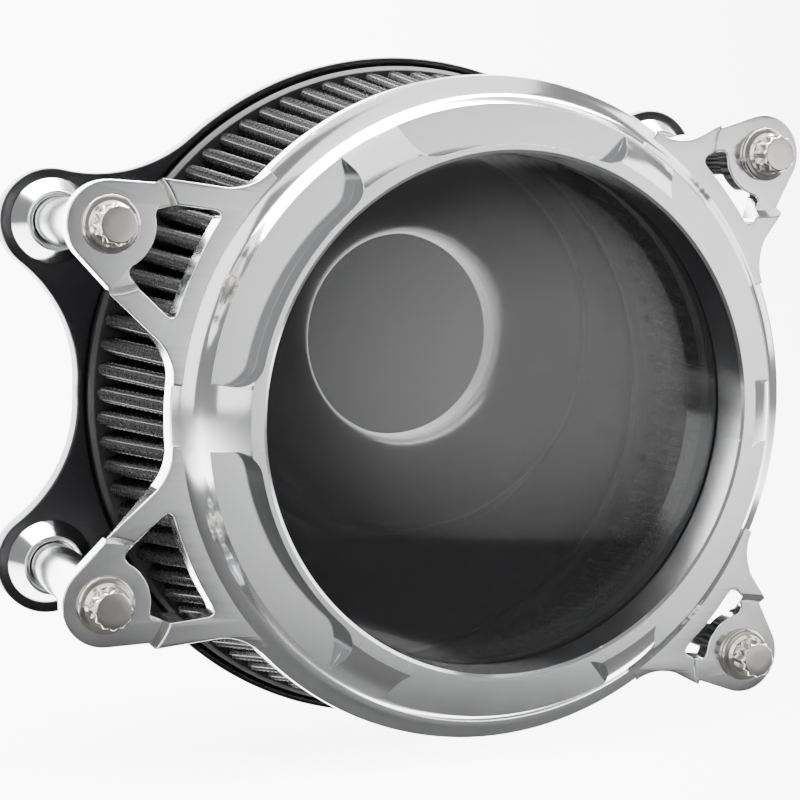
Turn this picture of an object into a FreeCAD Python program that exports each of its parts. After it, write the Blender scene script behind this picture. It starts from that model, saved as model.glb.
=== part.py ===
import FreeCAD, Part
import math
import os
import Sketcher

# Round motorcycle air filter: a black back plate that bolts to the throttle body, a velocity stack,
# a tapered pleated element, and a bright cover ring with a tinted lens, held on four posts.
#
# Every sub-part is drawn on the bench: lying on its back, local +Z from the rear face to the front,
# local +Y up, local origin on the axis of the filter element at the rear face.
# A Placement then stands it up, so that the front faces -Y and +Z is up.

os.makedirs("parts", exist_ok=True)
doc = FreeCAD.newDocument("air_filter")

DIMENSIONS = [
    # alias, millimetres or degrees, what it is
    ("throttle_rise", 15.5, "throttle bore axis above the element axis"),
    ("throttle_bore", 29.0, "radius of the air passage into the throttle body"),
    ("plate_radius", 94.0, "back plate"),
    ("plate_thick", 7.0, "back plate at its rim"),
    ("plate_floor", 5.0, "back plate inside its raised rim"),
    ("rim_inner", 92.0, "inside radius of the raised rim"),
    ("plate_bore", 31.5, "radius of the hole that takes the stack's spigot"),
    ("lobe_radius", 14.0, "rounded lobe under each post"),
    ("lobe_blend", 40.0, "hollow curve between lobe and plate"),
    ("left_post_reach", 111.0, "left posts from the element axis"),
    ("left_post_turn", 24.4, "left posts above and below the horizontal"),
    ("right_post_reach", 104.5, "right posts from the element axis"),
    ("right_post_turn", 41.0, "right posts above and below the horizontal"),
    ("post_radius", 6.35, "half-inch bar"),
    ("post_bore", 4.05, "clear radius over the thread at both ends"),
    ("post_front_depth", 26.0, "blind hole for the cover bolt"),
    ("post_rear_depth", 14.0, "blind hole for the rear screw"),
    ("seat_base", 11.5, "conical seat at the plate"),
    ("seat_top", 7.9, "conical seat at its front edge"),
    ("seat_tall", 6.0, "conical seat"),
    ("seat_cup", 6.6, "radius of the cup that takes the post"),
    ("seat_web", 1.5, "floor of the cup"),
    ("screw_radius", 3.97, "5/16 inch shank"),
    ("rear_head_radius", 7.6, "countersunk head of a rear screw"),
    ("rear_head_tall", 3.8, "countersunk head of a rear screw"),
    ("ring_back", 64.0, "rear face of the cover ring"),
    ("flange_radius", 86.0, "cover ring at its flange"),
    ("flange_front", 70.0, "front edge of the flange"),
    ("ear_front", 71.0, "front of the ears beside the ring"),
    ("bolt_seat", 69.0, "lowered round seat under each bolt"),
    ("bolt_seat_radius", 15.0, "lowered round seat under each bolt"),
    ("ear_tip", 10.7, "rounded end of an ear"),
    ("ear_spread", 22.0, "each side of an ear leans out by this angle"),
    ("ear_blend", 14.0, "hollow curve between ear and flange"),
    ("ear_hole", 4.3, "clear hole for the cover bolt"),
    ("cutout_inner", 88.4, "ring side of the three-cornered cut-out"),
    ("cutout_boss", 11.4, "bolt side of the three-cornered cut-out"),
    ("cutout_rib", 5.6, "rib left along each side of an ear"),
    ("cutout_corner", 2.2, "rounding of the cut-out's corners"),
    ("crease_radius", 81.0, "crease between flange and dome"),
    ("crease_front", 72.0, "crease between flange and dome"),
    ("dome_middle", 77.2, "a point half-way down the dome, from the axis"),
    ("dome_middle_front", 78.6, "height of that point"),
    ("pocket_floor", 77.0, "flat floor of a pocket"),
    ("pocket_inner", 68.1, "tall inner wall of a pocket"),
    ("pocket_count", 6, "pockets round the ring"),
    ("pocket_first", 30.0, "direction of the middle of the first pocket"),
    ("pocket_reach", 83.0, "the cutter runs out beyond the crease, to here"),
    ("pocket_sweep", 48.0, "angle that a pocket covers"),
    ("pocket_corner", 7.0, "rounded inner corners of a pocket"),
    ("lip_radius", 70.0, "outer edge of the flat lip round the window"),
    ("lip_front", 84.0, "front of the lip"),
    ("window_radius", 66.0, "window"),
    ("window_step", 72.0, "ledge that the lens seats behind"),
    ("lens_radius", 70.5, "lens"),
    ("lens_thick", 3.0, "polycarbonate sheet"),
    ("lens_crown", 3.4, "how far the middle of the lens stands out"),
    ("gasket_thick", 0.8, "flat gasket between lens and ring"),
    ("retainer_inner", 67.5, "lens retainer"),
    ("retainer_outer", 78.6, "lens retainer"),
    ("retainer_thick", 4.0, "lens retainer"),
    ("retainer_screw_reach", 74.6, "small screws that hold the lens retainer"),
    ("retainer_screw_count", 6, "small screws that hold the lens retainer"),
    ("retainer_screw_radius", 1.5, "M3 shank"),
    ("retainer_head_radius", 2.8, "cheese head of an M3 screw"),
    ("retainer_head_tall", 1.8, "cheese head of an M3 screw"),
    ("retainer_sink", 2.0, "counterbore for that head"),
    ("retainer_tap", 6.0, "depth of the tapped hole"),
    ("pleat_count", 84, "pleats"),
    ("pleat_rear", 90.5, "crest radius at the rear"),
    ("pleat_front", 80.8, "crest radius at the front"),
    ("pleat_depth", 10.0, "crest to root, with the sheet"),
    ("pleat_sheet", 1.6, "sheet measured outwards"),
    ("mesh_sheet", 0.5, "wire mesh measured outwards"),
    ("media_rear", 10.0, "rear end of the pleats"),
    ("media_front", 59.0, "front end of the pleats"),
    ("rear_cap_inner", 76.5, "rear end cap"),
    ("rear_cap_outer", 91.4, "rear end cap"),
    ("front_cap_inner", 68.0, "front end cap"),
    ("front_cap_outer", 82.6, "front end cap"),
    ("cap_gap", 0.3, "room between an end cap and the metal that it seals on"),
    ("stack_base", 60.0, "foot of the velocity stack"),
    ("stack_crest", 48.0, "crest of the velocity stack"),
    ("stack_tall", 20.0, "crest above the rear face"),
    ("stack_wall", 2.6, "sheet of the velocity stack"),
    ("stack_throat", 6.5, "front end of the straight throat"),
    ("stack_flare", 10.0, "radius of the flare where it leaves the throat"),
    ("stack_collar", 33.4, "collar that sits on the plate round the spigot"),
    ("stack_shoulder", 55.0, "outside, just behind the crest"),
    ("stack_shoulder_drop", 6.6, "from the crest back to that shoulder"),
    ("stack_foot_edge", 1.2, "flat outer edge of the foot"),
    ("spigot_radius", 31.4, "spigot of the velocity stack"),
    ("spigot_groove_rear", 0.9, "groove for the O-ring"),
    ("spigot_groove_front", 2.6, "groove for the O-ring"),
    ("spigot_groove_deep", 1.2, "groove for the O-ring"),
    ("stack_seal_cord", 0.62, "radius of the O-ring's cord"),
    ("throttle_screw_reach", 39.5, "screws into the throttle body"),
    ("throttle_screw_count", 3, "screws into the throttle body"),
    ("throttle_screw_radius", 3.0, "M6 shank"),
    ("throttle_hole_radius", 3.3, "clear hole for an M6 screw"),
    ("throttle_shoulder", 3.2, "plain shoulder of the screw inside the plate"),
    ("throttle_shoulder_out", 0.2, "that shoulder stands proud of the rear face by this much"),
    ("throttle_screw_stand", 14.0, "thread that stands out of the rear face"),
    ("throttle_head_radius", 5.0, "button head"),
    ("throttle_head_tall", 3.3, "button head"),
    ("seal_inner", 32.7, "rear seal round the bore"),
    ("seal_outer", 35.2, "rear seal round the bore"),
    ("seal_deep", 2.0, "groove of the rear seal"),
    ("bolt_flange", 7.1, "flange of a cover bolt"),
    ("bolt_flange_tall", 1.4, "flat edge of that flange"),
    ("bolt_head", 4.75, "points of the twelve-point head"),
    ("bolt_root", 4.2, "roots between the points"),
    ("bolt_head_tall", 8.2, "bolt seat to the top of the head"),
    ("bolt_recess", 2.9, "dished top of the head"),
    ("bolt_grip", 22.0, "shank inside the post"),
]


class Size:
    """A dimension that carries its value and the spreadsheet expression that it comes from."""

    def __init__(self, value, text):
        self.value = float(value)
        self.text = text

    @staticmethod
    def wrap(other):
        return other if isinstance(other, Size) else Size(other, repr(float(other)))

    def __add__(self, other):
        other = Size.wrap(other)
        return Size(self.value + other.value, f"({self.text} + {other.text})")

    def __sub__(self, other):
        other = Size.wrap(other)
        return Size(self.value - other.value, f"({self.text} - {other.text})")


def make_sheet():
    """The driving dimensions, one row each: words, number, alias."""
    sheet = doc.addObject("Spreadsheet::Sheet", "sizes")
    for row, (alias, number, words) in enumerate(DIMENSIONS, start=1):
        sheet.set(f"A{row}", words)
        sheet.set(f"B{row}", str(number))
        sheet.setAlias(f"B{row}", alias)
    doc.recompute()
    return {alias: Size(number, f"sizes.{alias}") for alias, number, words in DIMENSIONS}


d = make_sheet()
num = {alias: size.value for alias, size in d.items()}
ON_BENCH_AXIS = FreeCAD.Placement(
    FreeCAD.Vector(0, 0, -num["throttle_rise"]), FreeCAD.Rotation(FreeCAD.Vector(1, 0, 0), 90)
)
ON_THROTTLE_AXIS = FreeCAD.Placement(
    FreeCAD.Vector(0, 0, 0), FreeCAD.Rotation(FreeCAD.Vector(1, 0, 0), 90)
)
SUBPARTS = []


# ---------------------------------------------------------------- small tools for every sub-part
def polar(reach, degrees):
    """A bench point at a distance from the axis, in a direction."""
    turn = math.radians(degrees)
    return FreeCAD.Vector(reach * math.cos(turn), reach * math.sin(turn), 0)


def bind(item, field, size):
    """Set a field to a dimension and keep it tied to the spreadsheet."""
    item.setExpression(field, Size.wrap(size).text)


def new_body(name, placement=ON_BENCH_AXIS):
    body = doc.addObject("PartDesign::Body", name)
    body.Label = name
    body.Placement = placement
    SUBPARTS.append(body)
    return body


def register(item, name, placement=ON_BENCH_AXIS):
    """Label and stand up a sub-part made with Part features."""
    item.Label = name
    item.Placement = placement
    SUBPARTS.append(item)
    return item


def origin_plane(body, role):
    return next(item for item in body.Origin.OriginFeatures if item.Role == role)


def new_sketch(body, name, role="XY_Plane", lift=0):
    """A sketch on one of the body's own planes, raised along the plane's normal."""
    sketch = body.newObject("Sketcher::SketchObject", name)
    sketch.AttachmentSupport = [(origin_plane(body, role), "")]
    sketch.MapMode = "FlatFace"
    lift = Size.wrap(lift)
    sketch.AttachmentOffset = FreeCAD.Placement(
        FreeCAD.Vector(0, 0, lift.value), FreeCAD.Rotation()
    )
    bind(sketch, "AttachmentOffset.Base.z", lift)
    return sketch


def add_circle(sketch, radius, centre=FreeCAD.Vector(0, 0, 0)):
    """A full circle whose radius is bound to the sheet."""
    radius = Size.wrap(radius)
    index = sketch.addGeometry(
        Part.Circle(centre, FreeCAD.Vector(0, 0, 1), radius.value), False
    )
    rule = sketch.addConstraint(Sketcher.Constraint("Radius", index, radius.value))
    sketch.setExpression(f"Constraints[{rule}]", radius.text)


def add_profile(sketch, corners):
    """A closed polygon in (radius, height); each corner is bound to the sheet."""
    corners = [(Size.wrap(r), Size.wrap(z)) for r, z in corners]
    points = [FreeCAD.Vector(r.value, z.value, 0) for r, z in corners]
    count = len(points)
    for i in range(count):
        sketch.addGeometry(Part.LineSegment(points[i], points[(i + 1) % count]), False)
    for i in range(count):
        sketch.addConstraint(Sketcher.Constraint("Coincident", i, 2, (i + 1) % count, 1))
    for i, (r, z) in enumerate(corners):
        for kind, size in (("DistanceX", r), ("DistanceY", z)):
            rule = sketch.addConstraint(Sketcher.Constraint(kind, -1, 1, i, 1, size.value))
            sketch.setExpression(f"Constraints[{rule}]", size.text)


def add_curves(sketch, edges):
    """Lines and arcs, end to end, as they come: ("line", a, b) or ("arc", a, middle, b)."""
    for kind, *points in edges:
        spots = [FreeCAD.Vector(x, y, 0) for x, y in points]
        curve = Part.LineSegment(*spots) if kind == "line" else Part.Arc(*spots)
        sketch.addGeometry(curve, False)


def revolve(body, sketch, name="turned"):
    turned = body.newObject("PartDesign::Revolution", name)
    turned.Profile = sketch
    turned.ReferenceAxis = (sketch, ["V_Axis"])
    turned.Angle = 360
    return turned


def turned_body(name, corners, placement=ON_BENCH_AXIS):
    """A sub-part that is one lathe-turned profile."""
    body = new_body(name, placement)
    sketch = new_sketch(body, f"{name}_profile", "XZ_Plane")
    add_profile(sketch, corners)
    revolve(body, sketch, f"{name}_turned")
    return body


def pad(body, sketch, length, name):
    feature = body.newObject("PartDesign::Pad", name)
    feature.Profile = sketch
    bind(feature, "Length", length)
    return feature


def pocket(body, sketch, depth, name, upwards=False):
    """Cut a sketch downwards from its plane, or upwards when the plane is the pocket's floor."""
    feature = body.newObject("PartDesign::Pocket", name)
    feature.Profile = sketch
    feature.Reversed = upwards
    bind(feature, "Length", depth)
    before = body.Shape.Volume if not body.Shape.isNull() else 0
    doc.recompute()
    if before and body.Shape.Volume > before - 0.5:
        raise RuntimeError(f"{name} cut nothing")
    return feature


def post_spots():
    """Name, reach and direction of the four posts; ears, bolts and lobes share them."""
    left, right = num["left_post_reach"], num["right_post_reach"]
    left_turn, right_turn = num["left_post_turn"], num["right_post_turn"]
    return [
        ("upper_left", left, 180 - left_turn),
        ("lower_left", left, 180 + left_turn),
        ("upper_right", right, right_turn),
        ("lower_right", right, -right_turn),
    ]


POSTS = post_spots()


# ---------------------------------------------------------------- outlines with lobes and ears
def arc_about(centre, radius, start, end, clockwise=False):
    """An arc between two points of a circle, the way round that is asked for."""
    first = math.atan2(start.y - centre.y, start.x - centre.x)
    last = math.atan2(end.y - centre.y, end.x - centre.x)
    if clockwise:
        first, last = last, first
    if last <= first:
        last += 2 * math.pi
    circle = Part.Circle(centre, FreeCAD.Vector(0, 0, 1), radius)
    return Part.ArcOfCircle(circle, first, last)


def lobe_blend_points(hub, reach, degrees, radius, blend, side):
    """Where a hollow blend touches the hub and the lobe, and its centre; side is -1 or +1."""
    far = hub + blend
    near = radius + blend
    spread = math.degrees(math.acos((far**2 + reach**2 - near**2) / (2 * far * reach)))
    centre = polar(far, degrees + side * spread)
    lobe = polar(reach, degrees)
    on_hub = centre * (hub / far)
    on_lobe = lobe + (centre - lobe) * (radius / near)
    return on_hub, on_lobe, centre


def plate_outline():
    """The round plate with four rounded lobes, counter-clockwise arcs."""
    hub, radius, blend = num["plate_radius"], num["lobe_radius"], num["lobe_blend"]
    axis = FreeCAD.Vector(0, 0, 0)
    edges = []
    last_on_hub = None
    spots = sorted(POSTS, key=lambda spot: spot[2] % 360)
    for name, reach, degrees in spots + spots[:1]:
        start, lobe_in, low = lobe_blend_points(hub, reach, degrees, radius, blend, -1)
        end, lobe_out, high = lobe_blend_points(hub, reach, degrees, radius, blend, 1)
        if last_on_hub is not None:
            edges.append(arc_about(axis, hub, last_on_hub, start))
        if len(edges) < 4 * len(spots):
            edges.append(arc_about(low, blend, start, lobe_in, clockwise=True))
            edges.append(arc_about(polar(reach, degrees), radius, lobe_in, lobe_out))
            edges.append(arc_about(high, blend, lobe_out, end, clockwise=True))
        last_on_hub = end
    return edges


def ear_side(reach, degrees, side):
    """One side of an ear: tip touch point, end of the straight, hub touch point, blend centre."""
    tip, blend, hub = num["ear_tip"], num["ear_blend"], num["flange_radius"]
    heading = degrees + 180 - side * num["ear_spread"]
    along = polar(1, heading)
    outward = polar(1, heading - side * 90)
    touch = polar(reach, degrees) + outward * tip
    start = touch + outward * blend
    # travel along the offset straight until the blend's centre is hub + blend from the axis
    half = start.dot(along)
    far = hub + blend
    travel = -half - math.sqrt(half**2 - start.dot(start) + far**2)
    centre = start + along * travel
    return touch, centre - outward * blend, centre * (hub / far), centre


def ears_outline():
    """The flange with its four ears, counter-clockwise."""
    hub, tip, blend = num["flange_radius"], num["ear_tip"], num["ear_blend"]
    axis = FreeCAD.Vector(0, 0, 0)
    edges = []
    spots = sorted(POSTS, key=lambda spot: spot[2] % 360)
    sides = [(ear_side(r, a, -1), ear_side(r, a, 1), polar(r, a)) for _, r, a in spots]
    for i, (low, high, centre) in enumerate(sides):
        edges.append(arc_about(low[3], blend, low[2], low[1], clockwise=True))
        edges.append(Part.LineSegment(low[1], low[0]))
        edges.append(arc_about(centre, tip, low[0], high[0]))
        edges.append(Part.LineSegment(high[0], high[1]))
        edges.append(arc_about(high[3], blend, high[1], high[2], clockwise=True))
        following = sides[(i + 1) % len(sides)][0]
        edges.append(arc_about(axis, hub, high[2], following[2]))
    return edges


def rounded_cutout(reach, degrees, thick_from, thick_to):
    """The three-cornered hole of one ear: ring side, two ribs and the hollow round the bolt."""
    inner, boss = num["cutout_inner"], num["cutout_boss"]
    rib, corner = num["cutout_rib"], num["cutout_corner"]
    tall = thick_to - thick_from
    spread = math.radians(num["ear_spread"])
    half_out = num["ear_tip"] - rib
    overlap = 6
    reach_in = reach - inner + overlap
    half_in = half_out / math.cos(spread) + reach_in * math.tan(spread)
    half_end = half_out / math.cos(spread)
    wedge = [
        FreeCAD.Vector(reach, -half_end, 0),
        FreeCAD.Vector(reach, half_end, 0),
        FreeCAD.Vector(reach - reach_in, half_in, 0),
        FreeCAD.Vector(reach - reach_in, -half_in, 0),
    ]
    face = Part.Face(Part.makePolygon(wedge + wedge[:1]))
    face = face.cut(Part.Face(Part.Wire(Part.makeCircle(inner))))
    face = face.cut(Part.Face(Part.Wire(Part.makeCircle(boss, FreeCAD.Vector(reach, 0, 0)))))
    face = max(face.Faces, key=lambda piece: piece.Area)
    small = face.makeOffset2D(-corner)
    soft = small.makeOffset2D(corner)
    solid = Part.Face(soft.Wires).extrude(FreeCAD.Vector(0, 0, tall))
    solid.translate(FreeCAD.Vector(0, 0, thick_from))
    solid.rotate(FreeCAD.Vector(0, 0, 0), FreeCAD.Vector(0, 0, 1), degrees)
    return solid


# ---------------------------------------------------------------- base: plate, posts, stack
def make_back_plate():
    body = new_body("back_plate")
    outline = new_sketch(body, "plate_outline")
    for edge in plate_outline():
        outline.addGeometry(edge, False)
    pad(body, outline, d["plate_thick"], "plate")
    recess = new_sketch(body, "floor_circle", lift=d["plate_thick"])
    add_circle(recess, d["rim_inner"])
    pocket(body, recess, d["plate_thick"] - d["plate_floor"], "floor")
    throttle = FreeCAD.Vector(0, num["throttle_rise"], 0)
    bores = new_sketch(body, "bore_circles", lift=d["plate_thick"])
    add_circle(bores, d["plate_bore"], throttle)
    for i in range(int(num["throttle_screw_count"])):
        spot = throttle + polar(num["throttle_screw_reach"], 90 + 120 * i)
        add_circle(bores, d["throttle_hole_radius"], spot)
    for name, reach, degrees in POSTS:
        add_circle(bores, d["ear_hole"], polar(reach, degrees))
    pocket(body, bores, d["plate_thick"], "bores")
    groove = new_sketch(body, "seal_groove_circles")
    add_circle(groove, d["seal_outer"], throttle)
    add_circle(groove, d["seal_inner"], throttle)
    pocket(body, groove, d["seal_deep"], "seal_groove", upwards=True)
    for name, reach, degrees in POSTS:
        cone = body.newObject("PartDesign::SubtractiveCone", f"countersink_{name}")
        bind(cone, "Radius1", d["rear_head_radius"] + 0.2)
        bind(cone, "Radius2", d["ear_hole"])
        bind(cone, "Height", d["rear_head_tall"] + 0.1)
        cone.Placement = FreeCAD.Placement(polar(reach, degrees), FreeCAD.Rotation())


def make_posts():
    """Four bright posts between plate and cover, each on its own conical seat."""
    post_rear = d["plate_thick"] + d["seat_web"]
    for name, reach, degrees in POSTS:
        stand = FreeCAD.Placement(ON_BENCH_AXIS)
        stand.Base = ON_BENCH_AXIS.multVec(polar(reach, degrees))
        seat = [
            (d["ear_hole"], d["plate_thick"]),
            (d["seat_base"], d["plate_thick"]),
            (d["seat_top"], d["plate_thick"] + d["seat_tall"]),
            (d["seat_cup"], d["plate_thick"] + d["seat_tall"]),
            (d["seat_cup"], post_rear),
            (d["ear_hole"], post_rear),
        ]
        turned_body(f"post_seat_{name}", seat, stand)
        web_rear = post_rear + d["post_rear_depth"]
        web_front = d["ring_back"] - d["post_front_depth"]
        post = [
            (d["post_bore"], post_rear),
            (d["post_radius"], post_rear),
            (d["post_radius"], d["ring_back"]),
            (d["post_bore"], d["ring_back"]),
            (d["post_bore"], web_front),
            (0, web_front),
            (0, web_rear),
            (d["post_bore"], web_rear),
        ]
        turned_body(f"post_{name}", post, stand)


def make_post_screws():
    """Four countersunk screws that hold the posts from the rear, one node."""
    solids = []
    head, tall, shank = num["rear_head_radius"], num["rear_head_tall"], num["screw_radius"]
    hole_end_room, socket_radius, socket_deep = 2.0, 2.4, 2.2
    length = num["plate_thick"] + num["seat_web"] + num["post_rear_depth"] - hole_end_room
    socket = Part.makeCylinder(socket_radius, socket_deep)
    for name, reach, degrees in POSTS:
        screw = Part.makeCone(head, shank, tall).fuse(Part.makeCylinder(shank, length))
        screw = screw.cut(socket).removeSplitter()
        screw.translate(polar(reach, degrees))
        solids.append(screw)
    group = doc.addObject("Part::Feature", "post_screws")
    group.Shape = Part.makeCompound(solids)
    register(group, "post_screws")


def make_velocity_stack():
    """A thin trumpet with a rounded crest; its hollow skirt covers the throttle screws."""
    body = new_body("velocity_stack", ON_THROTTLE_AXIS)
    sketch = new_sketch(body, "stack_profile", "XZ_Plane")
    add_curves(sketch, stack_outside() + stack_inside())
    revolve(body, sketch, "stack_turned")


def flare_arcs(throat, peak, tight):
    """Two arcs that leave the throat straight forwards, touch, and reach the peak level."""
    out, up = peak[0] - throat[0], peak[1] - throat[1]
    wide = (out**2 + up**2 - 2 * out * tight) / (2 * (up - tight))
    tight_centre = (throat[0] + tight, throat[1])
    wide_centre = (peak[0], peak[1] - wide)
    lean = math.atan2(tight_centre[1] - wide_centre[1], tight_centre[0] - wide_centre[0])

    def on(centre, radius, angle):
        return (centre[0] + radius * math.cos(angle), centre[1] + radius * math.sin(angle))

    joint = on(tight_centre, tight, lean)
    tight_middle = on(tight_centre, tight, (math.pi + lean) / 2)
    wide_middle = on(wide_centre, wide, (lean + math.pi / 2) / 2)
    return [("arc", throat, tight_middle, joint), ("arc", joint, wide_middle, peak)]


def stack_outside():
    """From the rear of the bore, up the flared throat, over the crest and down to the foot."""
    bore, crest, base = num["throttle_bore"], num["stack_crest"], num["stack_base"]
    top, floor = num["stack_tall"], num["plate_floor"]
    throat = (bore, num["stack_throat"])
    peak = (crest, top)
    brow = (crest + 4.8, top - 1.9)
    shoulder = (num["stack_shoulder"], top - num["stack_shoulder_drop"])
    skirt = (crest + 8.6, floor + 3.4)
    foot = (base, floor + num["stack_foot_edge"])
    return [
        ("line", (bore, 0), throat),
        *flare_arcs(throat, peak, num["stack_flare"]),
        ("arc", peak, brow, shoulder),
        ("arc", shoulder, skirt, foot),
        ("line", foot, (base, floor)),
    ]


def stack_inside():
    """The hollow under the skirt, the collar on the plate, and the spigot with its groove."""
    crest, wall, floor = num["stack_crest"], num["stack_wall"], num["plate_floor"]
    top, collar, spigot = num["stack_tall"], num["stack_collar"], num["spigot_radius"]
    groove_front, groove_rear = num["spigot_groove_front"], num["spigot_groove_rear"]
    groove = spigot - num["spigot_groove_deep"]
    corners = [
        (num["stack_base"], floor),
        (num["stack_base"] - wall, floor),
        (crest + 5.0, floor + 4.4),
        (crest + 3.4, top - 5.2),
        (crest, top - wall),
        (collar + 3.4, top - 6.4),
        (collar, floor + 5.4),
        (collar, floor),
        (spigot, floor),
        (spigot, groove_front),
        (groove, groove_front),
        (groove, groove_rear),
        (spigot, groove_rear),
        (spigot, 0),
        (num["throttle_bore"], 0),
    ]
    return [("line", start, end) for start, end in zip(corners, corners[1:])]


def make_stack_seal():
    """O-ring in the spigot's groove."""
    cord, slack = num["stack_seal_cord"], 0.02
    ring = doc.addObject("Part::Torus", "stack_seal")
    bind(ring, "Radius1", d["spigot_radius"] - d["spigot_groove_deep"] + d["stack_seal_cord"] + slack)
    bind(ring, "Radius2", d["stack_seal_cord"])
    middle = (num["spigot_groove_rear"] + num["spigot_groove_front"]) / 2
    place = FreeCAD.Placement(ON_THROTTLE_AXIS)
    place.Base = ON_THROTTLE_AXIS.multVec(FreeCAD.Vector(0, 0, middle))
    register(ring, "stack_seal", place)


def make_throttle_seal():
    """Flat rubber ring in the groove of the rear face."""
    slack = 0.05
    inner, outer = d["seal_inner"] + slack, d["seal_outer"] - slack
    deep = d["seal_deep"]
    corners = [(inner, 0), (outer, 0), (outer, deep), (inner, deep)]
    turned_body("throttle_seal", corners, ON_THROTTLE_AXIS)


def make_throttle_screws():
    """Three button-head screws whose threads stand out of the rear face."""
    solids = []
    shank, head = num["throttle_screw_radius"], num["throttle_head_radius"]
    stand, floor = num["throttle_screw_stand"], num["plate_floor"]
    tall, rim = num["throttle_head_tall"], 1.2
    shoulder, proud = num["throttle_shoulder"], num["throttle_shoulder_out"]
    socket_radius, socket_deep = 2.0, 2.0
    up = FreeCAD.Vector(0, 0, 1)
    for i in range(int(num["throttle_screw_count"])):
        screw = Part.makeCylinder(shank, stand - proud, up * -stand)
        screw = screw.fuse(Part.makeCylinder(shoulder, proud + floor, up * -proud))
        screw = screw.fuse(Part.makeCylinder(head, rim, up * floor))
        screw = screw.fuse(Part.makeCone(head, head - 2.0, tall - rim, up * (floor + rim)))
        socket_rear = up * (floor + tall - socket_deep)
        screw = screw.cut(Part.makeCylinder(socket_radius, socket_deep, socket_rear))
        screw = screw.removeSplitter()
        screw.translate(polar(num["throttle_screw_reach"], 90 + 120 * i))
        solids.append(screw)
    group = doc.addObject("Part::Feature", "throttle_screws")
    group.Shape = Part.makeCompound(solids)
    register(group, "throttle_screws", ON_THROTTLE_AXIS)


# ---------------------------------------------------------------- filter element
def star_wire(crest, root, height):
    """One zigzag round the axis, crest to root and back."""
    pleats = int(num["pleat_count"])
    step = 360 / pleats
    points = []
    for i in range(pleats):
        points.append(polar(crest, i * step) + FreeCAD.Vector(0, 0, height))
        points.append(polar(root, (i + 0.5) * step) + FreeCAD.Vector(0, 0, height))
    return Part.makePolygon(points + points[:1])


def pleated_tube(inset, sheet):
    """A tapered zigzag sheet: inset is how far its outside lies below the crest line."""
    rear, front = num["pleat_rear"] - inset, num["pleat_front"] - inset
    fold = num["pleat_depth"] - num["pleat_sheet"] - 2 * num["mesh_sheet"]
    z0, z1 = num["media_rear"], num["media_front"]
    walls = []
    for cut in (0, sheet):
        rear_star = star_wire(rear - cut, rear - cut - fold, z0)
        front_star = star_wire(front - cut, front - cut - fold, z1)
        walls.append(Part.makeLoft([rear_star, front_star], True, True))
    outer, inner = walls
    return outer.cut(inner)


def make_element():
    """Black urethane end caps, the pleated sheet, and the wire mesh on both its sides."""
    rear, front = d["media_rear"], d["media_front"]
    rear_cap = [
        (d["rear_cap_inner"], d["plate_floor"] + d["cap_gap"]),
        (d["rear_cap_outer"], d["plate_floor"] + d["cap_gap"]),
        (d["rear_cap_outer"], rear - 1.2),
        (d["rear_cap_outer"] - 1.2, rear),
        (d["rear_cap_inner"] + 1.0, rear),
        (d["rear_cap_inner"], rear - 1.0),
    ]
    turned_body("rear_end_cap", rear_cap)
    front_cap = [
        (d["front_cap_inner"], front),
        (d["front_cap_outer"], front),
        (d["front_cap_outer"], d["ring_back"] - d["cap_gap"]),
        (d["front_cap_inner"], d["ring_back"] - d["cap_gap"]),
    ]
    turned_body("front_end_cap", front_cap)
    mesh, sheet = num["mesh_sheet"], num["pleat_sheet"]
    layers = [
        ("outer_wire_mesh", 0.0, mesh),
        ("pleated_media", mesh, sheet),
        ("inner_wire_mesh", mesh + sheet, mesh),
    ]
    for name, inset, thick in layers:
        layer = doc.addObject("Part::Feature", name)
        layer.Shape = pleated_tube(inset, thick)
        register(layer, name)


# ---------------------------------------------------------------- cover
def ring_profile():
    """Half section of the ring: window, lip, dome, flange, counterbore and lens seat."""
    window, seat = num["window_radius"], num["lens_radius"] + 0.1
    step, lip = num["window_step"], num["lip_front"]
    counterbore, back = num["retainer_outer"] + 0.3, num["ring_back"]
    lens_back = step - num["gasket_thick"] - num["lens_thick"]
    lip_edge = (num["lip_radius"], lip)
    bulge = (num["dome_middle"], num["dome_middle_front"])
    crease = (num["crease_radius"], num["crease_front"])
    flange = (num["flange_radius"], num["flange_front"])
    corners = [
        flange,
        (num["flange_radius"], back),
        (counterbore, back),
        (counterbore, lens_back),
        (seat, lens_back),
        (seat, step),
        (window, step),
        (window, lip),
        lip_edge,
    ]
    straight = [("line", start, end) for start, end in zip(corners, corners[1:])]
    return straight + [("arc", lip_edge, bulge, crease), ("line", crease, flange)]


def make_cover_ring():
    """Turned ring, four ears with lowered bolt seats and cut-outs, taps, and milled pockets."""
    body = new_body("cover_ring")
    profile = new_sketch(body, "ring_profile", "XZ_Plane")
    add_curves(profile, ring_profile())
    revolve(body, profile, "ring_turned")
    ears = new_sketch(body, "ears_outline", lift=d["ring_back"])
    for edge in ears_outline():
        ears.addGeometry(edge, False)
    add_circle(ears, d["crease_radius"])
    pad(body, ears, d["ear_front"] - d["ring_back"], "ears")
    seats = new_sketch(body, "bolt_seat_circles", lift=d["bolt_seat"])
    holes = new_sketch(body, "bolt_hole_circles", lift=d["ear_front"])
    for name, reach, degrees in POSTS:
        add_circle(seats, d["bolt_seat_radius"], polar(reach, degrees))
        add_circle(holes, d["ear_hole"], polar(reach, degrees))
    pocket(body, seats, d["ear_front"] - d["bolt_seat"] + 1, "bolt_seats", upwards=True)
    pocket(body, holes, d["ear_front"] - d["ring_back"], "bolt_holes")
    lens_back = d["window_step"] - d["gasket_thick"] - d["lens_thick"]
    taps = new_sketch(body, "retainer_tap_circles", lift=lens_back)
    for spot in retainer_spots():
        add_circle(taps, d["retainer_screw_radius"] + 0.05, spot)
    pocket(body, taps, d["retainer_tap"], "retainer_taps", upwards=True)
    add_pockets(body)
    add_ear_cutouts(body)


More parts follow.
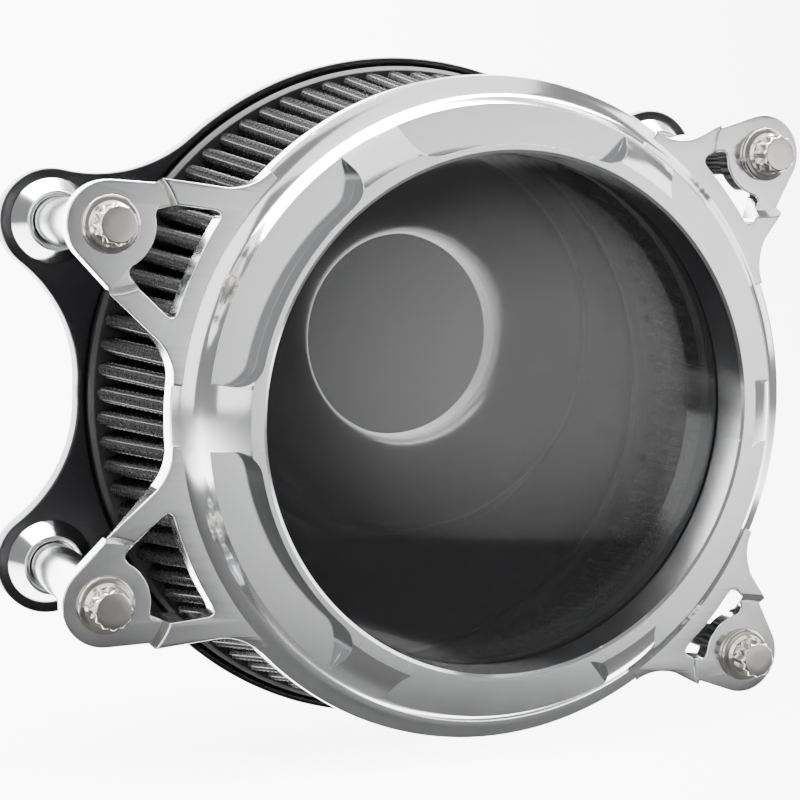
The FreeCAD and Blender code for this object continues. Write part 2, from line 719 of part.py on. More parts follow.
def add_ear_cutouts(body):
    """Take the four three-cornered holes out of the ears."""
    over = 1
    rear, front = num["ring_back"] - over, num["ear_front"] + over
    tools = [rounded_cutout(reach, degrees, rear, front) for _, reach, degrees in POSTS]
    cutter = doc.addObject("Part::Feature", "cutout_tools")
    cutter.Shape = Part.makeCompound(tools)
    tool_body = doc.addObject("PartDesign::Body", "cutout_tool_body")
    tool_body.BaseFeature = cutter
    cut = body.newObject("PartDesign::Boolean", "ear_cutouts")
    cut.Type = "Cut"
    cut.setObjects([tool_body])


def add_pockets(body):
    """Six flat-floored pockets milled into the dome of the ring."""
    inner, outer = num["pocket_inner"], num["pocket_reach"]
    half, corner = num["pocket_sweep"] / 2, num["pocket_corner"]
    high, low = num["pocket_first"] + half, num["pocket_first"] - half
    sketch = new_sketch(body, "pocket_outline", lift=d["pocket_floor"])
    # the corner arc's centre sits one corner radius inside both the inner wall and the end wall
    hub = inner + corner
    lean = math.degrees(corner / hub)
    centre_high, centre_low = polar(hub, high - lean), polar(hub, low + lean)
    wall_high, wall_low = polar(hub, high), polar(hub, low)
    inner_high, inner_low = centre_high * (inner / hub), centre_low * (inner / hub)
    outer_high, outer_low = polar(outer, high), polar(outer, low)
    axis = FreeCAD.Vector(0, 0, 0)
    edges = [
        arc_about(axis, outer, outer_low, outer_high),
        Part.LineSegment(outer_high, wall_high),
        Part.Arc(wall_high, corner_middle(centre_high, inner_high, wall_high, corner), inner_high),
        arc_about(axis, inner, inner_low, inner_high),
        Part.Arc(inner_low, corner_middle(centre_low, inner_low, wall_low, corner), wall_low),
        Part.LineSegment(wall_low, outer_low),
    ]
    for edge in edges:
        sketch.addGeometry(edge, False)
    cut = pocket(body, sketch, d["lip_front"] - d["pocket_floor"] + 3, "pocket", upwards=True)
    pattern = body.newObject("PartDesign::PolarPattern", "pocket_pattern")
    pattern.Originals = [cut]
    pattern.Axis = (sketch, ["N_Axis"])
    pattern.Angle = 360
    bind(pattern, "Occurrences", d["pocket_count"])
    body.Tip = pattern
    doc.recompute()


def corner_middle(centre, first, last, radius):
    """The middle point of a corner arc."""
    halfway = (first - centre).normalize() + (last - centre).normalize()
    return centre + halfway.normalize() * radius


def crown_arc(rim_radius, rim_height, crown):
    """An arc from the axis out to the rim whose centre lies exactly on the axis."""
    radius = (rim_radius**2 + crown**2) / (2 * crown)
    centre = FreeCAD.Vector(0, rim_height + crown - radius, 0)
    lean = math.asin(rim_radius / radius)
    circle = Part.Circle(centre, FreeCAD.Vector(0, 0, 1), radius)
    return Part.ArcOfCircle(circle, math.pi / 2 - lean, math.pi / 2)


def make_lens():
    """Domed lens: a flat rim to clamp and a raised middle of even thickness."""
    body = new_body("lens")
    sketch = new_sketch(body, "lens_profile", "XZ_Plane")
    rim, thick, crown = num["lens_radius"], num["lens_thick"], num["lens_crown"]
    front = num["window_step"] - num["gasket_thick"]
    back, edge = front - thick, num["window_radius"] - 0.5
    sketch.addGeometry(crown_arc(edge, front, crown), False)
    sketch.addGeometry(crown_arc(edge, back, crown), False)
    add_curves(sketch, [
        ("line", (0, back + crown), (0, front + crown)),
        ("line", (edge, front), (rim, front)),
        ("line", (rim, front), (rim, back)),
        ("line", (rim, back), (edge, back)),
    ])
    revolve(body, sketch, "lens_turned")


def retainer_spots():
    """Where the small screws of the lens retainer sit."""
    count, reach = int(num["retainer_screw_count"]), num["retainer_screw_reach"]
    return [polar(reach, (i + 0.5) * 360 / count) for i in range(count)]


def make_lens_gasket():
    """Flat ring between the lens rim and the ledge of the window."""
    front, rear = d["window_step"], d["window_step"] - d["gasket_thick"]
    inner, outer = d["window_radius"] + 0.3, d["lens_radius"]
    turned_body("lens_gasket", [(inner, rear), (outer, rear), (outer, front), (inner, front)])


def make_lens_retainer():
    """Flat ring behind the lens, drilled and counterbored for its small screws."""
    front = d["window_step"] - d["gasket_thick"] - d["lens_thick"]
    rear = front - d["retainer_thick"]
    inner, outer = d["retainer_inner"], d["retainer_outer"]
    body = turned_body("lens_retainer", [(inner, rear), (outer, rear), (outer, front), (inner, front)])
    holes = new_sketch(body, "retainer_hole_circles", lift=rear)
    sinks = new_sketch(body, "retainer_sink_circles", lift=rear)
    for spot in retainer_spots():
        add_circle(holes, d["retainer_screw_radius"] + 0.2, spot)
        add_circle(sinks, d["retainer_head_radius"] + 0.2, spot)
    pocket(body, holes, d["retainer_thick"], "retainer_holes", upwards=True)
    pocket(body, sinks, d["retainer_sink"], "retainer_sinks", upwards=True)


def make_retainer_screws():
    """Six small socket screws, one node, heads sunk in the retainer's rear face."""
    head, tall = num["retainer_head_radius"], num["retainer_head_tall"]
    front = num["window_step"] - num["gasket_thick"] - num["lens_thick"]
    seat = front - num["retainer_thick"] + num["retainer_sink"]
    length = num["retainer_thick"] - num["retainer_sink"] + num["retainer_tap"] - 1.5
    socket_radius, socket_deep = 1.0, 1.0
    up = FreeCAD.Vector(0, 0, 1)
    solids = []
    for spot in retainer_spots():
        screw = Part.makeCylinder(head, tall, up * (seat - tall))
        screw = screw.cut(Part.makeCylinder(socket_radius, socket_deep, up * (seat - tall)))
        shank = Part.makeCylinder(num["retainer_screw_radius"], length, up * seat)
        screw = screw.fuse(shank).removeSplitter()
        screw.translate(spot)
        solids.append(screw)
    group = doc.addObject("Part::Feature", "retainer_screws")
    group.Shape = Part.makeCompound(solids)
    register(group, "retainer_screws")


def twelve_point(tall):
    """A prism with twelve points, from the bolt's root radius to its point radius."""
    points = []
    for i in range(24):
        reach = num["bolt_head"] if i % 2 == 0 else num["bolt_root"]
        points.append(polar(reach, i * 15))
    return Part.Face(Part.makePolygon(points + points[:1])).extrude(FreeCAD.Vector(0, 0, tall))


def make_cover_bolts():
    """Twelve-point flange bolts through the ears into the posts."""
    seat, tall, edge = num["bolt_seat"], num["bolt_head_tall"], num["bolt_flange_tall"]
    flange, shank = num["bolt_flange"], num["screw_radius"]
    grip = num["bolt_grip"] + seat - num["ring_back"]
    slope, dish_deep = 1.6, 1.0
    for name, reach, degrees in POSTS:
        bolt = Part.makeCylinder(flange, edge)
        cone_base = FreeCAD.Vector(0, 0, edge)
        bolt = bolt.fuse(Part.makeCone(flange - 0.5, num["bolt_head"], slope, cone_base))
        head = twelve_point(tall)
        dish_base = FreeCAD.Vector(0, 0, tall - dish_deep)
        dish = Part.makeCylinder(num["bolt_recess"], dish_deep, dish_base)
        stem = Part.makeCylinder(shank, grip, FreeCAD.Vector(0, 0, -grip))
        bolt = bolt.fuse(head).fuse(stem).cut(dish).removeSplitter()
        item = doc.addObject("Part::Feature", f"cover_bolt_{name}")
        item.Shape = bolt
        place = FreeCAD.Placement(ON_BENCH_AXIS)
        place.Base = ON_BENCH_AXIS.multVec(polar(reach, degrees) + FreeCAD.Vector(0, 0, seat))
        register(item, f"cover_bolt_{name}", place)


# ---------------------------------------------------------------- build, test and write
make_back_plate()
make_posts()
make_post_screws()
make_velocity_stack()
make_stack_seal()
make_throttle_seal()
make_throttle_screws()
make_element()
make_cover_ring()
make_lens()
make_lens_gasket()
make_lens_retainer()
make_retainer_screws()
make_cover_bolts()
doc.recompute()

for item in doc.Objects:
    if "Invalid" in item.State or "Error" in item.State:
        raise RuntimeError(f"{item.Label} failed: {item.State}")
for item in SUBPARTS:
    if item.Shape.isNull() or not item.Shape.isValid():
        raise RuntimeError(f"{item.Label} has no valid shape")
    box = item.Shape.BoundBox
    print(f"{item.Label:26s} solids {len(item.Shape.Solids):2d}  volume {item.Shape.Volume:10.1f}"
          f"  x {box.XMin:7.1f} {box.XMax:7.1f}  y {box.YMin:7.1f} {box.YMax:7.1f}"
          f"  z {box.ZMin:7.1f} {box.ZMax:7.1f}")
    item.Shape.exportStep(f"parts/{item.Label}.step")
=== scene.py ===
# %% Load the frame
import math

import bmesh
import bpy
import numpy as np
from mathutils import Matrix, Vector


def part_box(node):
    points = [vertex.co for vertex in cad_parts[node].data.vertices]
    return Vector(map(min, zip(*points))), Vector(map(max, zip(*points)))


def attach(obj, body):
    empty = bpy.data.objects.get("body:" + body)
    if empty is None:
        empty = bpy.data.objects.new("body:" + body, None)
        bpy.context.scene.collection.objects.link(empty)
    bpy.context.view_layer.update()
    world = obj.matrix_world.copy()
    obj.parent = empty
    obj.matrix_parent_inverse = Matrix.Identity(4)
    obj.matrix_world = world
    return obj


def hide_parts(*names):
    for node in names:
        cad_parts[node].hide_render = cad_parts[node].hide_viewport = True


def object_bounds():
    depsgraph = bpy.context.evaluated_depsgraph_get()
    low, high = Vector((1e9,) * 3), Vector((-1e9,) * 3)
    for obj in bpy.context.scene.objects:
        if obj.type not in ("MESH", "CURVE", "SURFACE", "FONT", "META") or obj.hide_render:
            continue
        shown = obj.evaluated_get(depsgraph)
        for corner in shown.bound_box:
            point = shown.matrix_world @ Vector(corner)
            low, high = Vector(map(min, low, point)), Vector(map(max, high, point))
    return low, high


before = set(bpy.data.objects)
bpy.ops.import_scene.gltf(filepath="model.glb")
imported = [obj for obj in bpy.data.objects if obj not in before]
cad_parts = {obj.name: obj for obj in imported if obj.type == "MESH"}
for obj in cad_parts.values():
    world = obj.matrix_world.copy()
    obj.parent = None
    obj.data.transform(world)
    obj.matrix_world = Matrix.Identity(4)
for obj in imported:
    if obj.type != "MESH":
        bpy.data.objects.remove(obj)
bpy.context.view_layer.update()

# %% [markdown]
# This filter stands with its cover towards -Y. Most of its pieces are turned about one axis, the
# axis of the pleated element, so it is handy to speak of a radius, a direction and a distance
# forward of the rear face. All such sizes are in millimetres here and become metres at the last
# step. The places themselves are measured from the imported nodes.

# %% Measure the places
MM = 0.001


def middle(node):
    """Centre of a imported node."""
    low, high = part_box(node)
    return (low + high) / 2


def front(node):
    """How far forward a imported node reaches, in millimetres."""
    return -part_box(node)[0].y / MM


def rear(node):
    """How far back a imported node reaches, in millimetres forward of the rear face."""
    return -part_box(node)[1].y / MM


def half_width(node):
    """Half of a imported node's width, in millimetres."""
    low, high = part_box(node)
    return (high.x - low.x) / 2 / MM


def on_axis_of(node):
    """The point of a turned node's axis that lies in the rear face."""
    centre = middle(node)
    return Vector((centre.x, 0, centre.z))


HUB = on_axis_of("lens")
BORE = on_axis_of("velocity_stack")
CORNERS = ["upper_left", "lower_left", "upper_right", "lower_right"]


def flat(place):
    """A place as a complex number in the front view: millimetres right and up from the hub."""
    return complex((place.x - HUB.x) / MM, (place.z - HUB.z) / MM)


POST_AT = {name: flat(middle("post_" + name)) for name in CORNERS}
for name, spot in POST_AT.items():
    print(f"post {name}: reach {abs(spot):.1f} mm, direction {math.degrees(np.angle(spot)):.1f}")

# %% [markdown]
# Every finish is a small network of shader nodes. Arithmetic reads best as arithmetic, so a
# number socket is wrapped in a class with the usual operators. One method adds any other node.


# %% Shader tools
class Number:
    """A number socket that can be used in sums."""

    def __init__(self, finish, socket):
        self.finish, self.socket = finish, socket

    def maths(self, operation, first, second):
        node = self.finish.node("ShaderNodeMath", {"operation": operation}, {0: first, 1: second})
        return Number(self.finish, node.outputs[0])

    def __add__(self, other):
        return self.maths("ADD", self, other)

    def __sub__(self, other):
        return self.maths("SUBTRACT", self, other)

    def __mul__(self, other):
        return self.maths("MULTIPLY", self, other)

    def __pow__(self, other):
        return self.maths("POWER", self, other)

    def __rsub__(self, other):
        return self.maths("SUBTRACT", other, self)

    __radd__ = __add__
    __rmul__ = __mul__


class Finish:
    """One material, built node by node round a principled shader."""

    def __init__(self, name, **constants):
        self.slot = name
        self.material = bpy.data.materials.new(name)
        self.material.use_nodes = True
        self.tree = self.material.node_tree
        self.surface = self.tree.nodes["Principled BSDF"]
        self.set(**constants)

    def node(self, kind, settings=None, inputs=None):
        """Add a node, set its options, then give its sockets values or links."""
        node = self.tree.nodes.new(kind)
        for field, value in (settings or {}).items():
            setattr(node, field, value)
        for key, value in (inputs or {}).items():
            self.plug(node.inputs[key], value)
        return node

    def plug(self, socket, value):
        if isinstance(value, Number):
            value = value.socket
        if isinstance(value, bpy.types.NodeSocket):
            self.tree.links.new(value, socket)
        else:
            socket.default_value = value

    def set(self, **values):
        """Give sockets of the principled shader values or links: base_color=..., roughness=..."""
        for name, value in values.items():
            self.plug(self.surface.inputs[name.replace("_", " ").title().replace("Ior", "IOR")], value)

    def place(self, stretch=(1, 1, 1)):
        """The object's own coordinates, stretched along the axes."""
        source = self.node("ShaderNodeTexCoord").outputs["Object"]
        return self.node("ShaderNodeMapping", None, {"Vector": source, "Scale": stretch}).outputs[0]

    def split(self, vector):
        """The three parts of a vector, as numbers."""
        node = self.node("ShaderNodeSeparateXYZ", None, {0: vector})
        return [Number(self, socket) for socket in node.outputs]

    def noise(self, scale, detail=3.0, stretch=(1, 1, 1), rough=0.5):
        """Cloudy noise from 0 to 1."""
        settings = {"Scale": scale, "Detail": detail, "Roughness": rough}
        node = self.node("ShaderNodeTexNoise", None, {"Vector": self.place(stretch), **settings})
        return Number(self, node.outputs["Fac"])

    def blend(self, factor, first, second):
        """Mix two colours."""
        settings = {"data_type": "RGBA"}
        node = self.node("ShaderNodeMix", settings, {0: factor, 6: first, 7: second})
        return node.outputs[2]

    def colour(self, factor, first, second):
        """Let the base colour drift between two colours."""
        self.set(base_color=self.blend(factor, (*first, 1), (*second, 1)))

    def bump(self, height, distance, strength=1.0):
        """Small relief; distance in millimetres."""
        inputs = {"Height": height, "Distance": distance * MM, "Strength": strength}
        return self.node("ShaderNodeBump", None, inputs).outputs[0]


# %% [markdown]
# The finishes. Plated brass or steel is nearly a mirror, but never evenly so: polishing leaves
# faint clouds in its gloss. Bar steel is a little warmer and duller. The plate is black anodised,
# the trumpet is moulded gloss black, the end caps are cast urethane with a fine skin, and the
# filter is dyed cloth under coated wire. Each one varies a little from place to place.

# %% Make the finishes
chrome = Finish("chrome", metallic=1.0)
cloud = chrome.noise(60.0, 4.0)
chrome.colour(cloud, (0.86, 0.87, 0.885), (0.93, 0.93, 0.935))
chrome.set(roughness=0.09 + 0.07 * chrome.noise(140.0, 5.0))

steel = Finish("polished_steel", metallic=1.0)
steel.colour(steel.noise(180.0), (0.74, 0.71, 0.66), (0.86, 0.83, 0.78))
steel.set(roughness=0.1 + 0.12 * steel.noise(500.0, 4.0, (1, 0.1, 1)))

anodised = Finish("black_anodised", ior=1.5)
anodised.colour(anodised.noise(40.0), (0.008, 0.008, 0.009), (0.016, 0.016, 0.018))
anodised.set(roughness=0.16 + 0.12 * anodised.noise(300.0, 4.0))

gloss = Finish("gloss_black", ior=1.5, coat_weight=0.25, coat_roughness=0.2)
gloss.colour(gloss.noise(30.0), (0.006, 0.006, 0.007), (0.012, 0.012, 0.013))
gloss.set(roughness=0.38 + 0.1 * gloss.noise(120.0, 4.0))

urethane = Finish("urethane")
skin = urethane.noise(900.0, 3.0)
urethane.colour(skin, (0.008, 0.008, 0.008), (0.018, 0.018, 0.018))
urethane.set(roughness=0.45 + 0.2 * urethane.noise(80.0), normal=urethane.bump(skin, 0.08))

rubber = Finish("seal_rubber")
grain = rubber.noise(1500.0, 2.0)
rubber.colour(grain, (0.007, 0.007, 0.007), (0.015, 0.015, 0.015))
rubber.set(roughness=0.6 + 0.2 * rubber.noise(150.0), normal=rubber.bump(grain, 0.03))

cloth = Finish("pleat_cloth")
fibre = cloth.noise(1800.0, 4.0, (1, 1, 0.6))
cloth.colour(fibre, (0.001, 0.001, 0.0011), (0.004, 0.004, 0.0045))
cloth.set(roughness=0.75 + 0.2 * fibre, normal=cloth.bump(fibre, 0.15))

wire = Finish("wire_mesh", metallic=0.85, ior=1.5)
wire.colour(wire.noise(400.0), (0.01, 0.01, 0.0105), (0.045, 0.045, 0.047))
wire.set(roughness=0.2 + 0.14 * wire.noise(900.0))

zinc = Finish("zinc_screw", metallic=1.0)
zinc.colour(zinc.noise(250.0), (0.55, 0.55, 0.54), (0.72, 0.72, 0.7))
zinc.set(roughness=0.25 + 0.15 * zinc.noise(700.0))

smoked = Finish("smoked_lens", ior=2.1, alpha=0.42)
smoked.colour(smoked.noise(25.0), (0.03, 0.03, 0.032), (0.042, 0.042, 0.045))
smoked.set(roughness=0.03 + 0.03 * smoked.noise(60.0))
print("finishes:", len(bpy.data.materials))

# %% [markdown]
# Three ways of making a piece are enough here. A turned piece is a half section swept round its
# axis. A plate is an outline with holes, given a thickness and softened edges. A sheet or a wire
# is a grid of points. Real edges are never sharp, so corners get a short arc that catches light.


# %% Modelling tools
ALMOST_STRAIGHT = 1.56  # half the opening of a corner that needs no rounding, in radians


def soften(corners, steps=4):
    """A closed outline whose corners (x, y, radius) are rounded; a plain (x, y) is kept."""
    points = [complex(corner[0], corner[1]) for corner in corners]
    outline = []
    for i, corner in enumerate(corners):
        here, before, after = points[i], points[i - 1], points[(i + 1) % len(points)]
        radius = corner[2] if len(corner) > 2 else 0
        back, ahead = before - here, after - here
        opening = abs(np.angle(ahead / back)) / 2
        if radius == 0 or opening > ALMOST_STRAIGHT:
            outline.append(here)
            continue
        reach = min(radius / math.tan(opening), 0.48 * abs(back), 0.48 * abs(ahead))
        radius = reach * math.tan(opening)
        bisector = back / abs(back) + ahead / abs(ahead)
        centre = here + bisector / abs(bisector) * radius / math.sin(opening)
        start = here + back / abs(back) * reach - centre
        end = here + ahead / abs(ahead) * reach - centre
        sweep = np.angle(end / start)
        outline += [centre + start * np.exp(1j * sweep * k / steps) for k in range(steps + 1)]
    return outline


def weld(mesh):
    """Merge points that coincide and turn every face outwards."""
    work = bmesh.new()
    work.from_mesh(mesh)
    bmesh.ops.remove_doubles(work, verts=work.verts, dist=1e-7)
    bmesh.ops.recalc_face_normals(work, faces=work.faces)
    work.to_mesh(mesh)
    work.free()


def grid_mesh(name, points, around=True, closed=True, join=True):
    """Quads over a grid of points, wrapped round in one or both directions."""
    rows, columns = points.shape[:2]
    u = np.arange(rows if around else rows - 1)[:, None]
    v = np.arange(columns if closed else columns - 1)[None, :]
    next_u, next_v = (u + 1) % rows, (v + 1) % columns
    corners = [u * columns + v, next_u * columns + v, next_u * columns + next_v, u * columns + next_v]
    quads = np.stack(corners, axis=-1).reshape(-1, 4)
    mesh = bpy.data.meshes.new(name)
    mesh.from_pydata(points.reshape(-1, 3).tolist(), [], quads.tolist())
    if join:
        weld(mesh)
    return mesh


def stand_up(radius, angle, forward, hub=HUB):
    """Arrays of radius (mm), angle (radians) and forward (mm) as points in the row frame."""
    x = hub.x + radius * np.cos(angle) * MM
    z = hub.z + radius * np.sin(angle) * MM
    return np.stack([x, np.broadcast_to(-forward * MM, x.shape), z], axis=-1)


EVEN_UP_TO = 60000  # faces; a finer mesh shades smoothly without weighted normals


def show(name, mesh, body, finish, replaces=(), crisp=38, edge=0):
    """Put a mesh in the scene as a piece that rides on a body."""
    piece = bpy.data.objects.new(name, mesh)
    bpy.context.scene.collection.objects.link(piece)
    mesh.materials.clear()
    mesh.materials.append(finish.material)
    mesh.shade_smooth()
    if edge:
        bevel = piece.modifiers.new("softened edges", "BEVEL")
        bevel.width, bevel.segments = edge * MM, 3
        bevel.angle_limit = math.radians(18)
    else:
        mesh.set_sharp_from_angle(angle=math.radians(crisp))
    if len(mesh.polygons) < EVEN_UP_TO:
        even = piece.modifiers.new("even shading", "WEIGHTED_NORMAL")
        even.keep_sharp = True
    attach(piece, body)
    if replaces:
        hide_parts(*replaces)
    return piece


def turned(name, corners, body, finish, replaces=(), hub=HUB, steps=240):
    """A piece turned from a closed half section of (radius, forward, rounding)."""
    section = np.array(soften(corners))
    angle = np.linspace(0, 2 * math.pi, steps, endpoint=False)[:, None]
    points = stand_up(section.real[None, :], angle, section.imag[None, :], hub)
    return show(name, grid_mesh(name, points), body, finish, replaces)


def plate(name, outline, holes, back, face, edge, body, finish, replaces=()):
    """A plate from an outline and holes (complex millimetres), with rounded edges."""
    curve = bpy.data.curves.new(name, "CURVE")
    curve.dimensions, curve.fill_mode = "2D", "BOTH"
    curve.extrude = (face - back) / 2 * MM - edge * MM
    curve.bevel_depth, curve.bevel_resolution, curve.offset = edge * MM, 2, -edge * MM
    for loop in [outline, *holes]:
        spline = curve.splines.new("POLY")
        spline.points.add(len(loop) - 1)
        for point, spot in zip(spline.points, loop):
            point.co = (spot.real * MM, spot.imag * MM, 0, 1)
        spline.use_cyclic_u = True
    holder = bpy.data.objects.new(name, curve)
    mesh = bpy.data.meshes.new_from_object(holder)
    bpy.data.objects.remove(holder)
    centre = Vector((HUB.x, -(face + back) / 2 * MM, HUB.z))
    mesh.transform(Matrix.Translation(centre) @ Matrix.Rotation(math.pi / 2, 4, "X"))
    weld(mesh)
    return show(name, mesh, body, finish, replaces)


def sweep(centre, radius, start, end, steps=24, clockwise=False):
    """Points of an arc from one point of a circle to another."""
    turn = np.angle((end - centre) / (start - centre))
    if clockwise and turn > 0:
        turn -= 2 * math.pi
    if not clockwise and turn < 0:
        turn += 2 * math.pi
    first = (start - centre) / abs(start - centre) * radius
    return [centre + first * np.exp(1j * turn * k / steps) for k in range(steps + 1)]


def ring_of(centre, radius, steps=64):
    """A full circle of points, clockwise, for a hole."""
    return [centre + radius * np.exp(-2j * math.pi * k / steps) for k in range(steps)]


def bend_through(start, corner, end, count):
    """A short curve that leaves towards a corner and arrives from it."""
    shares = np.linspace(0, 1, count)
    return [(1 - t) ** 2 * start + 2 * t * (1 - t) * corner + t**2 * end for t in shares]


def beside(axis, reach, degrees):
    """A place in the rear face, so many millimetres from an axis in a direction."""
    offset = reach * np.exp(1j * math.radians(degrees))
    return axis + Vector((offset.real * MM, 0, offset.imag * MM))


def flat_ring(inner, outer, back, face, rounding):
    """Half section of a plain ring with four equal edges."""
    return [(radius, forward, rounding) for radius, forward in
            ((inner, back), (outer, back), (outer, face), (inner, face))]


# %% [markdown]
# The back plate is cast or cut from 7 mm sheet, with four rounded lobes that reach under the
# posts. A hollow curve leads into each lobe. The middle is faced down to leave a narrow raised rim,
# whose softened edge shows as a fine bright line. A ring of rubber in a groove at the rear seals
# it to the throttle body.

# %% Back plate
PLATE, FLOOR = front("back_plate"), rear("velocity_stack") + 5.0
PLATE_RADIUS, RIM, LOBE, LOBE_BLEND = 94.0, 92.0, 14.0, 40.0
POST_SCREW_HOLE, PLATE_BORE, LEVEL_RADIUS = 7.8, 31.5, 62.0
GROOVE_INNER, GROOVE_OUTER, GROOVE_DEEP = 32.6, 35.3, 2.0
by_direction = sorted(POST_AT.values(), key=lambda spot: np.angle(spot) % (2 * math.pi))


def lobed_outline():
    """The round plate with its four lobes, counter-clockwise."""
    stops = []
    for spot in by_direction:
        far, near = PLATE_RADIUS + LOBE_BLEND, LOBE + LOBE_BLEND
        reach = abs(spot)
        spread = math.acos((far**2 + reach**2 - near**2) / (2 * far * reach))
        heading = spot / reach
        low, high = far * heading * np.exp(-1j * spread), far * heading * np.exp(1j * spread)
        stops.append((spot, low, high))
    outline = []
    for i, (spot, low, high) in enumerate(stops):
        shrink = PLATE_RADIUS / (PLATE_RADIUS + LOBE_BLEND)
        into = spot + (low - spot) * LOBE / (LOBE + LOBE_BLEND)
        out_of = spot + (high - spot) * LOBE / (LOBE + LOBE_BLEND)
        following = stops[(i + 1) % len(stops)][1] * shrink
        outline += sweep(low, LOBE_BLEND, low * shrink, into, 24, True)[:-1]
        outline += sweep(spot, LOBE, into, out_of, 32)[:-1]
        outline += sweep(high, LOBE_BLEND, out_of, high * shrink, 24, True)[:-1]
        outline += sweep(0, PLATE_RADIUS, high * shrink, following, 60)[:-1]
    return outline


screw_holes = [ring_of(spot, POST_SCREW_HOLE) for spot in POST_AT.values()]
rim_hole = ring_of(0, RIM, 240)
plate("plate_rim", lobed_outline(), [rim_hole, *screw_holes], 0, PLATE, 0.7, "base", anodised, ["back_plate"])
bore_offset = flat(BORE)
floor_corners = [
    (PLATE_BORE, 0.05, 0.4), (PLATE_BORE, FLOOR, 0.4), (LEVEL_RADIUS, FLOOR), (RIM - 0.6, FLOOR),
    (RIM + 0.5, FLOOR + 0.5), (RIM + 0.5, 0.05), (GROOVE_OUTER, 0.05, 0.2), (GROOVE_OUTER, GROOVE_DEEP),
    (GROOVE_INNER, GROOVE_DEEP), (GROOVE_INNER, 0.05, 0.2),
]


def plate_floor():
    """The floor is turned about the hub at its edge and about the bore at its middle."""
    section = np.array(soften(floor_corners))
    angle = np.linspace(0, 2 * math.pi, 240, endpoint=False)[:, None]
    share = np.clip((RIM - section.real) / (RIM - LEVEL_RADIUS), 0, 1)[None, :]
    points = stand_up(section.real[None, :], angle, section.imag[None, :])
    points[..., 0] += share * bore_offset.real * MM
    points[..., 2] += share * bore_offset.imag * MM
    return grid_mesh("plate_floor", points)


show("plate_floor", plate_floor(), "base", anodised)
seal_section = [(32.8, 0.05, 0.4), (35.1, 0.05, 0.4), (35.1, 1.95, 0.2), (32.8, 1.95, 0.2)]
turned("throttle_seal_ring", seal_section, "base", rubber, ["throttle_seal"], BORE)
print("back plate: lobes", len(by_direction), "front face", round(PLATE, 2))

# %% [markdown]
# Four half-inch posts carry the cover. Each stands in the cup of a turned conical seat, which
# shows as a bright cone with a flat ring at its top. A countersunk screw holds each post from the
# rear. Three button-head screws pass through the plate into the throttle body.

# %% Posts, seats and screws
SHANK, POST_BORE = 3.97, 4.05
THROTTLE_SCREWS, THROTTLE_CIRCLE = 3, 39.5


def threaded(name, root, crest, pitch, back, face, spot, body, finish, replaces=()):
    """A threaded shank: a grid whose radius climbs and falls along a helix."""
    angle = np.linspace(0, 2 * math.pi, 48, endpoint=False)[:, None]
    forward = np.linspace(back, face, int((face - back) / pitch * 8) + 1)[None, :]
    phase = (forward / pitch - angle / (2 * math.pi)) % 1
    radius = root + (crest - root) * np.clip(2.4 * np.abs(phase - 0.5) * 2 - 0.7, 0, 1)
    taper = np.clip((forward - back) / 1.2, 0, 1)
    radius = radius * (0.82 + 0.18 * taper)
    points = stand_up(radius, angle, np.broadcast_to(forward, radius.shape), spot)
    ends = [stand_up(np.zeros((48, 1)), angle, np.full((48, 1), end), spot) for end in (back, face)]
    points = np.concatenate([ends[0], points, ends[1]], axis=1)
    mesh = grid_mesh(name, points, True, False)
    return show(name, mesh, body, finish, replaces, crisp=50)


def post(corner):
    """One bar with a blind bore for its bolt, its conical seat and its countersunk screw."""
    spot, bar = on_axis_of("post_" + corner), half_width("post_" + corner)
    foot, top = rear("post_" + corner), front("post_" + corner)
    bar_section = [
        (0, foot), (bar, foot, 0.3), (bar, top, 0.5), (POST_BORE, top, 0.3), (POST_BORE, top - 24),
        (0, top - 26),
    ]
    turned("post_" + corner + "_bar", bar_section, "base", chrome, ["post_" + corner], spot, 96)
    seat_top = front("post_seat_" + corner)
    cone = [
        (4.3, PLATE + 0.02), (11.5, PLATE + 0.02, 0.2), (11.3, PLATE + 0.8, 0.2), (7.95, seat_top, 0.35),
        (6.62, seat_top, 0.25), (6.62, PLATE + 1.5), (4.3, PLATE + 1.5),
    ]
    turned("post_seat_" + corner + "_cone", cone, "base", chrome, ["post_seat_" + corner], spot, 120)
    screw = [
        (0, 2.2), (2.4, 2.2), (2.4, 0.12, 0.2), (7.55, 0.12, 0.3), (SHANK, 3.8), (SHANK, 8.6), (0, 8.6),
    ]
    replaced = ["post_screws"] if corner == CORNERS[0] else []
    turned("post_screw_" + corner, screw, "base", zinc, replaced, spot, 72)


for corner in CORNERS:
    post(corner)

button_head = [
    (0, 2.0), (2.9, 2.0), (2.9, 5.02), (5.0, 5.02, 0.2), (5.0, 6.2, 0.3), (3.2, 8.3, 0.6),
    (2.0, 8.3, 0.2), (2.0, 6.4), (0, 6.0),
]
screw_end = rear("throttle_screws")
for i in range(THROTTLE_SCREWS):
    spot = beside(BORE, THROTTLE_CIRCLE, 90 + 120 * i)
    replaced = ["throttle_screws"] if i == 0 else []
    threaded(f"throttle_screw_thread_{i}", 2.5, 2.98, 1.0, screw_end, 2.0, spot, "base", zinc, replaced)
    turned(f"throttle_screw_head_{i}", button_head, "base", zinc, [], spot, 64)
print("posts:", len(CORNERS), "throttle screws:", THROTTLE_SCREWS)

# %% [markdown]
# The velocity stack is a moulded trumpet. Air rolls over its rounded crest into the throttle, so
# the crest has no edge at all and shows one broad soft highlight. It is turned in one piece, with
# a hollow skirt behind the crest and a spigot that centres it in the plate.

# %% Velocity stack
CREST = front("velocity_stack")
STACK_BASE = half_width("velocity_stack")
THROAT, SPIGOT, COLLAR, CREST_RADIUS = 29.0, 31.4, 33.4, 48.0


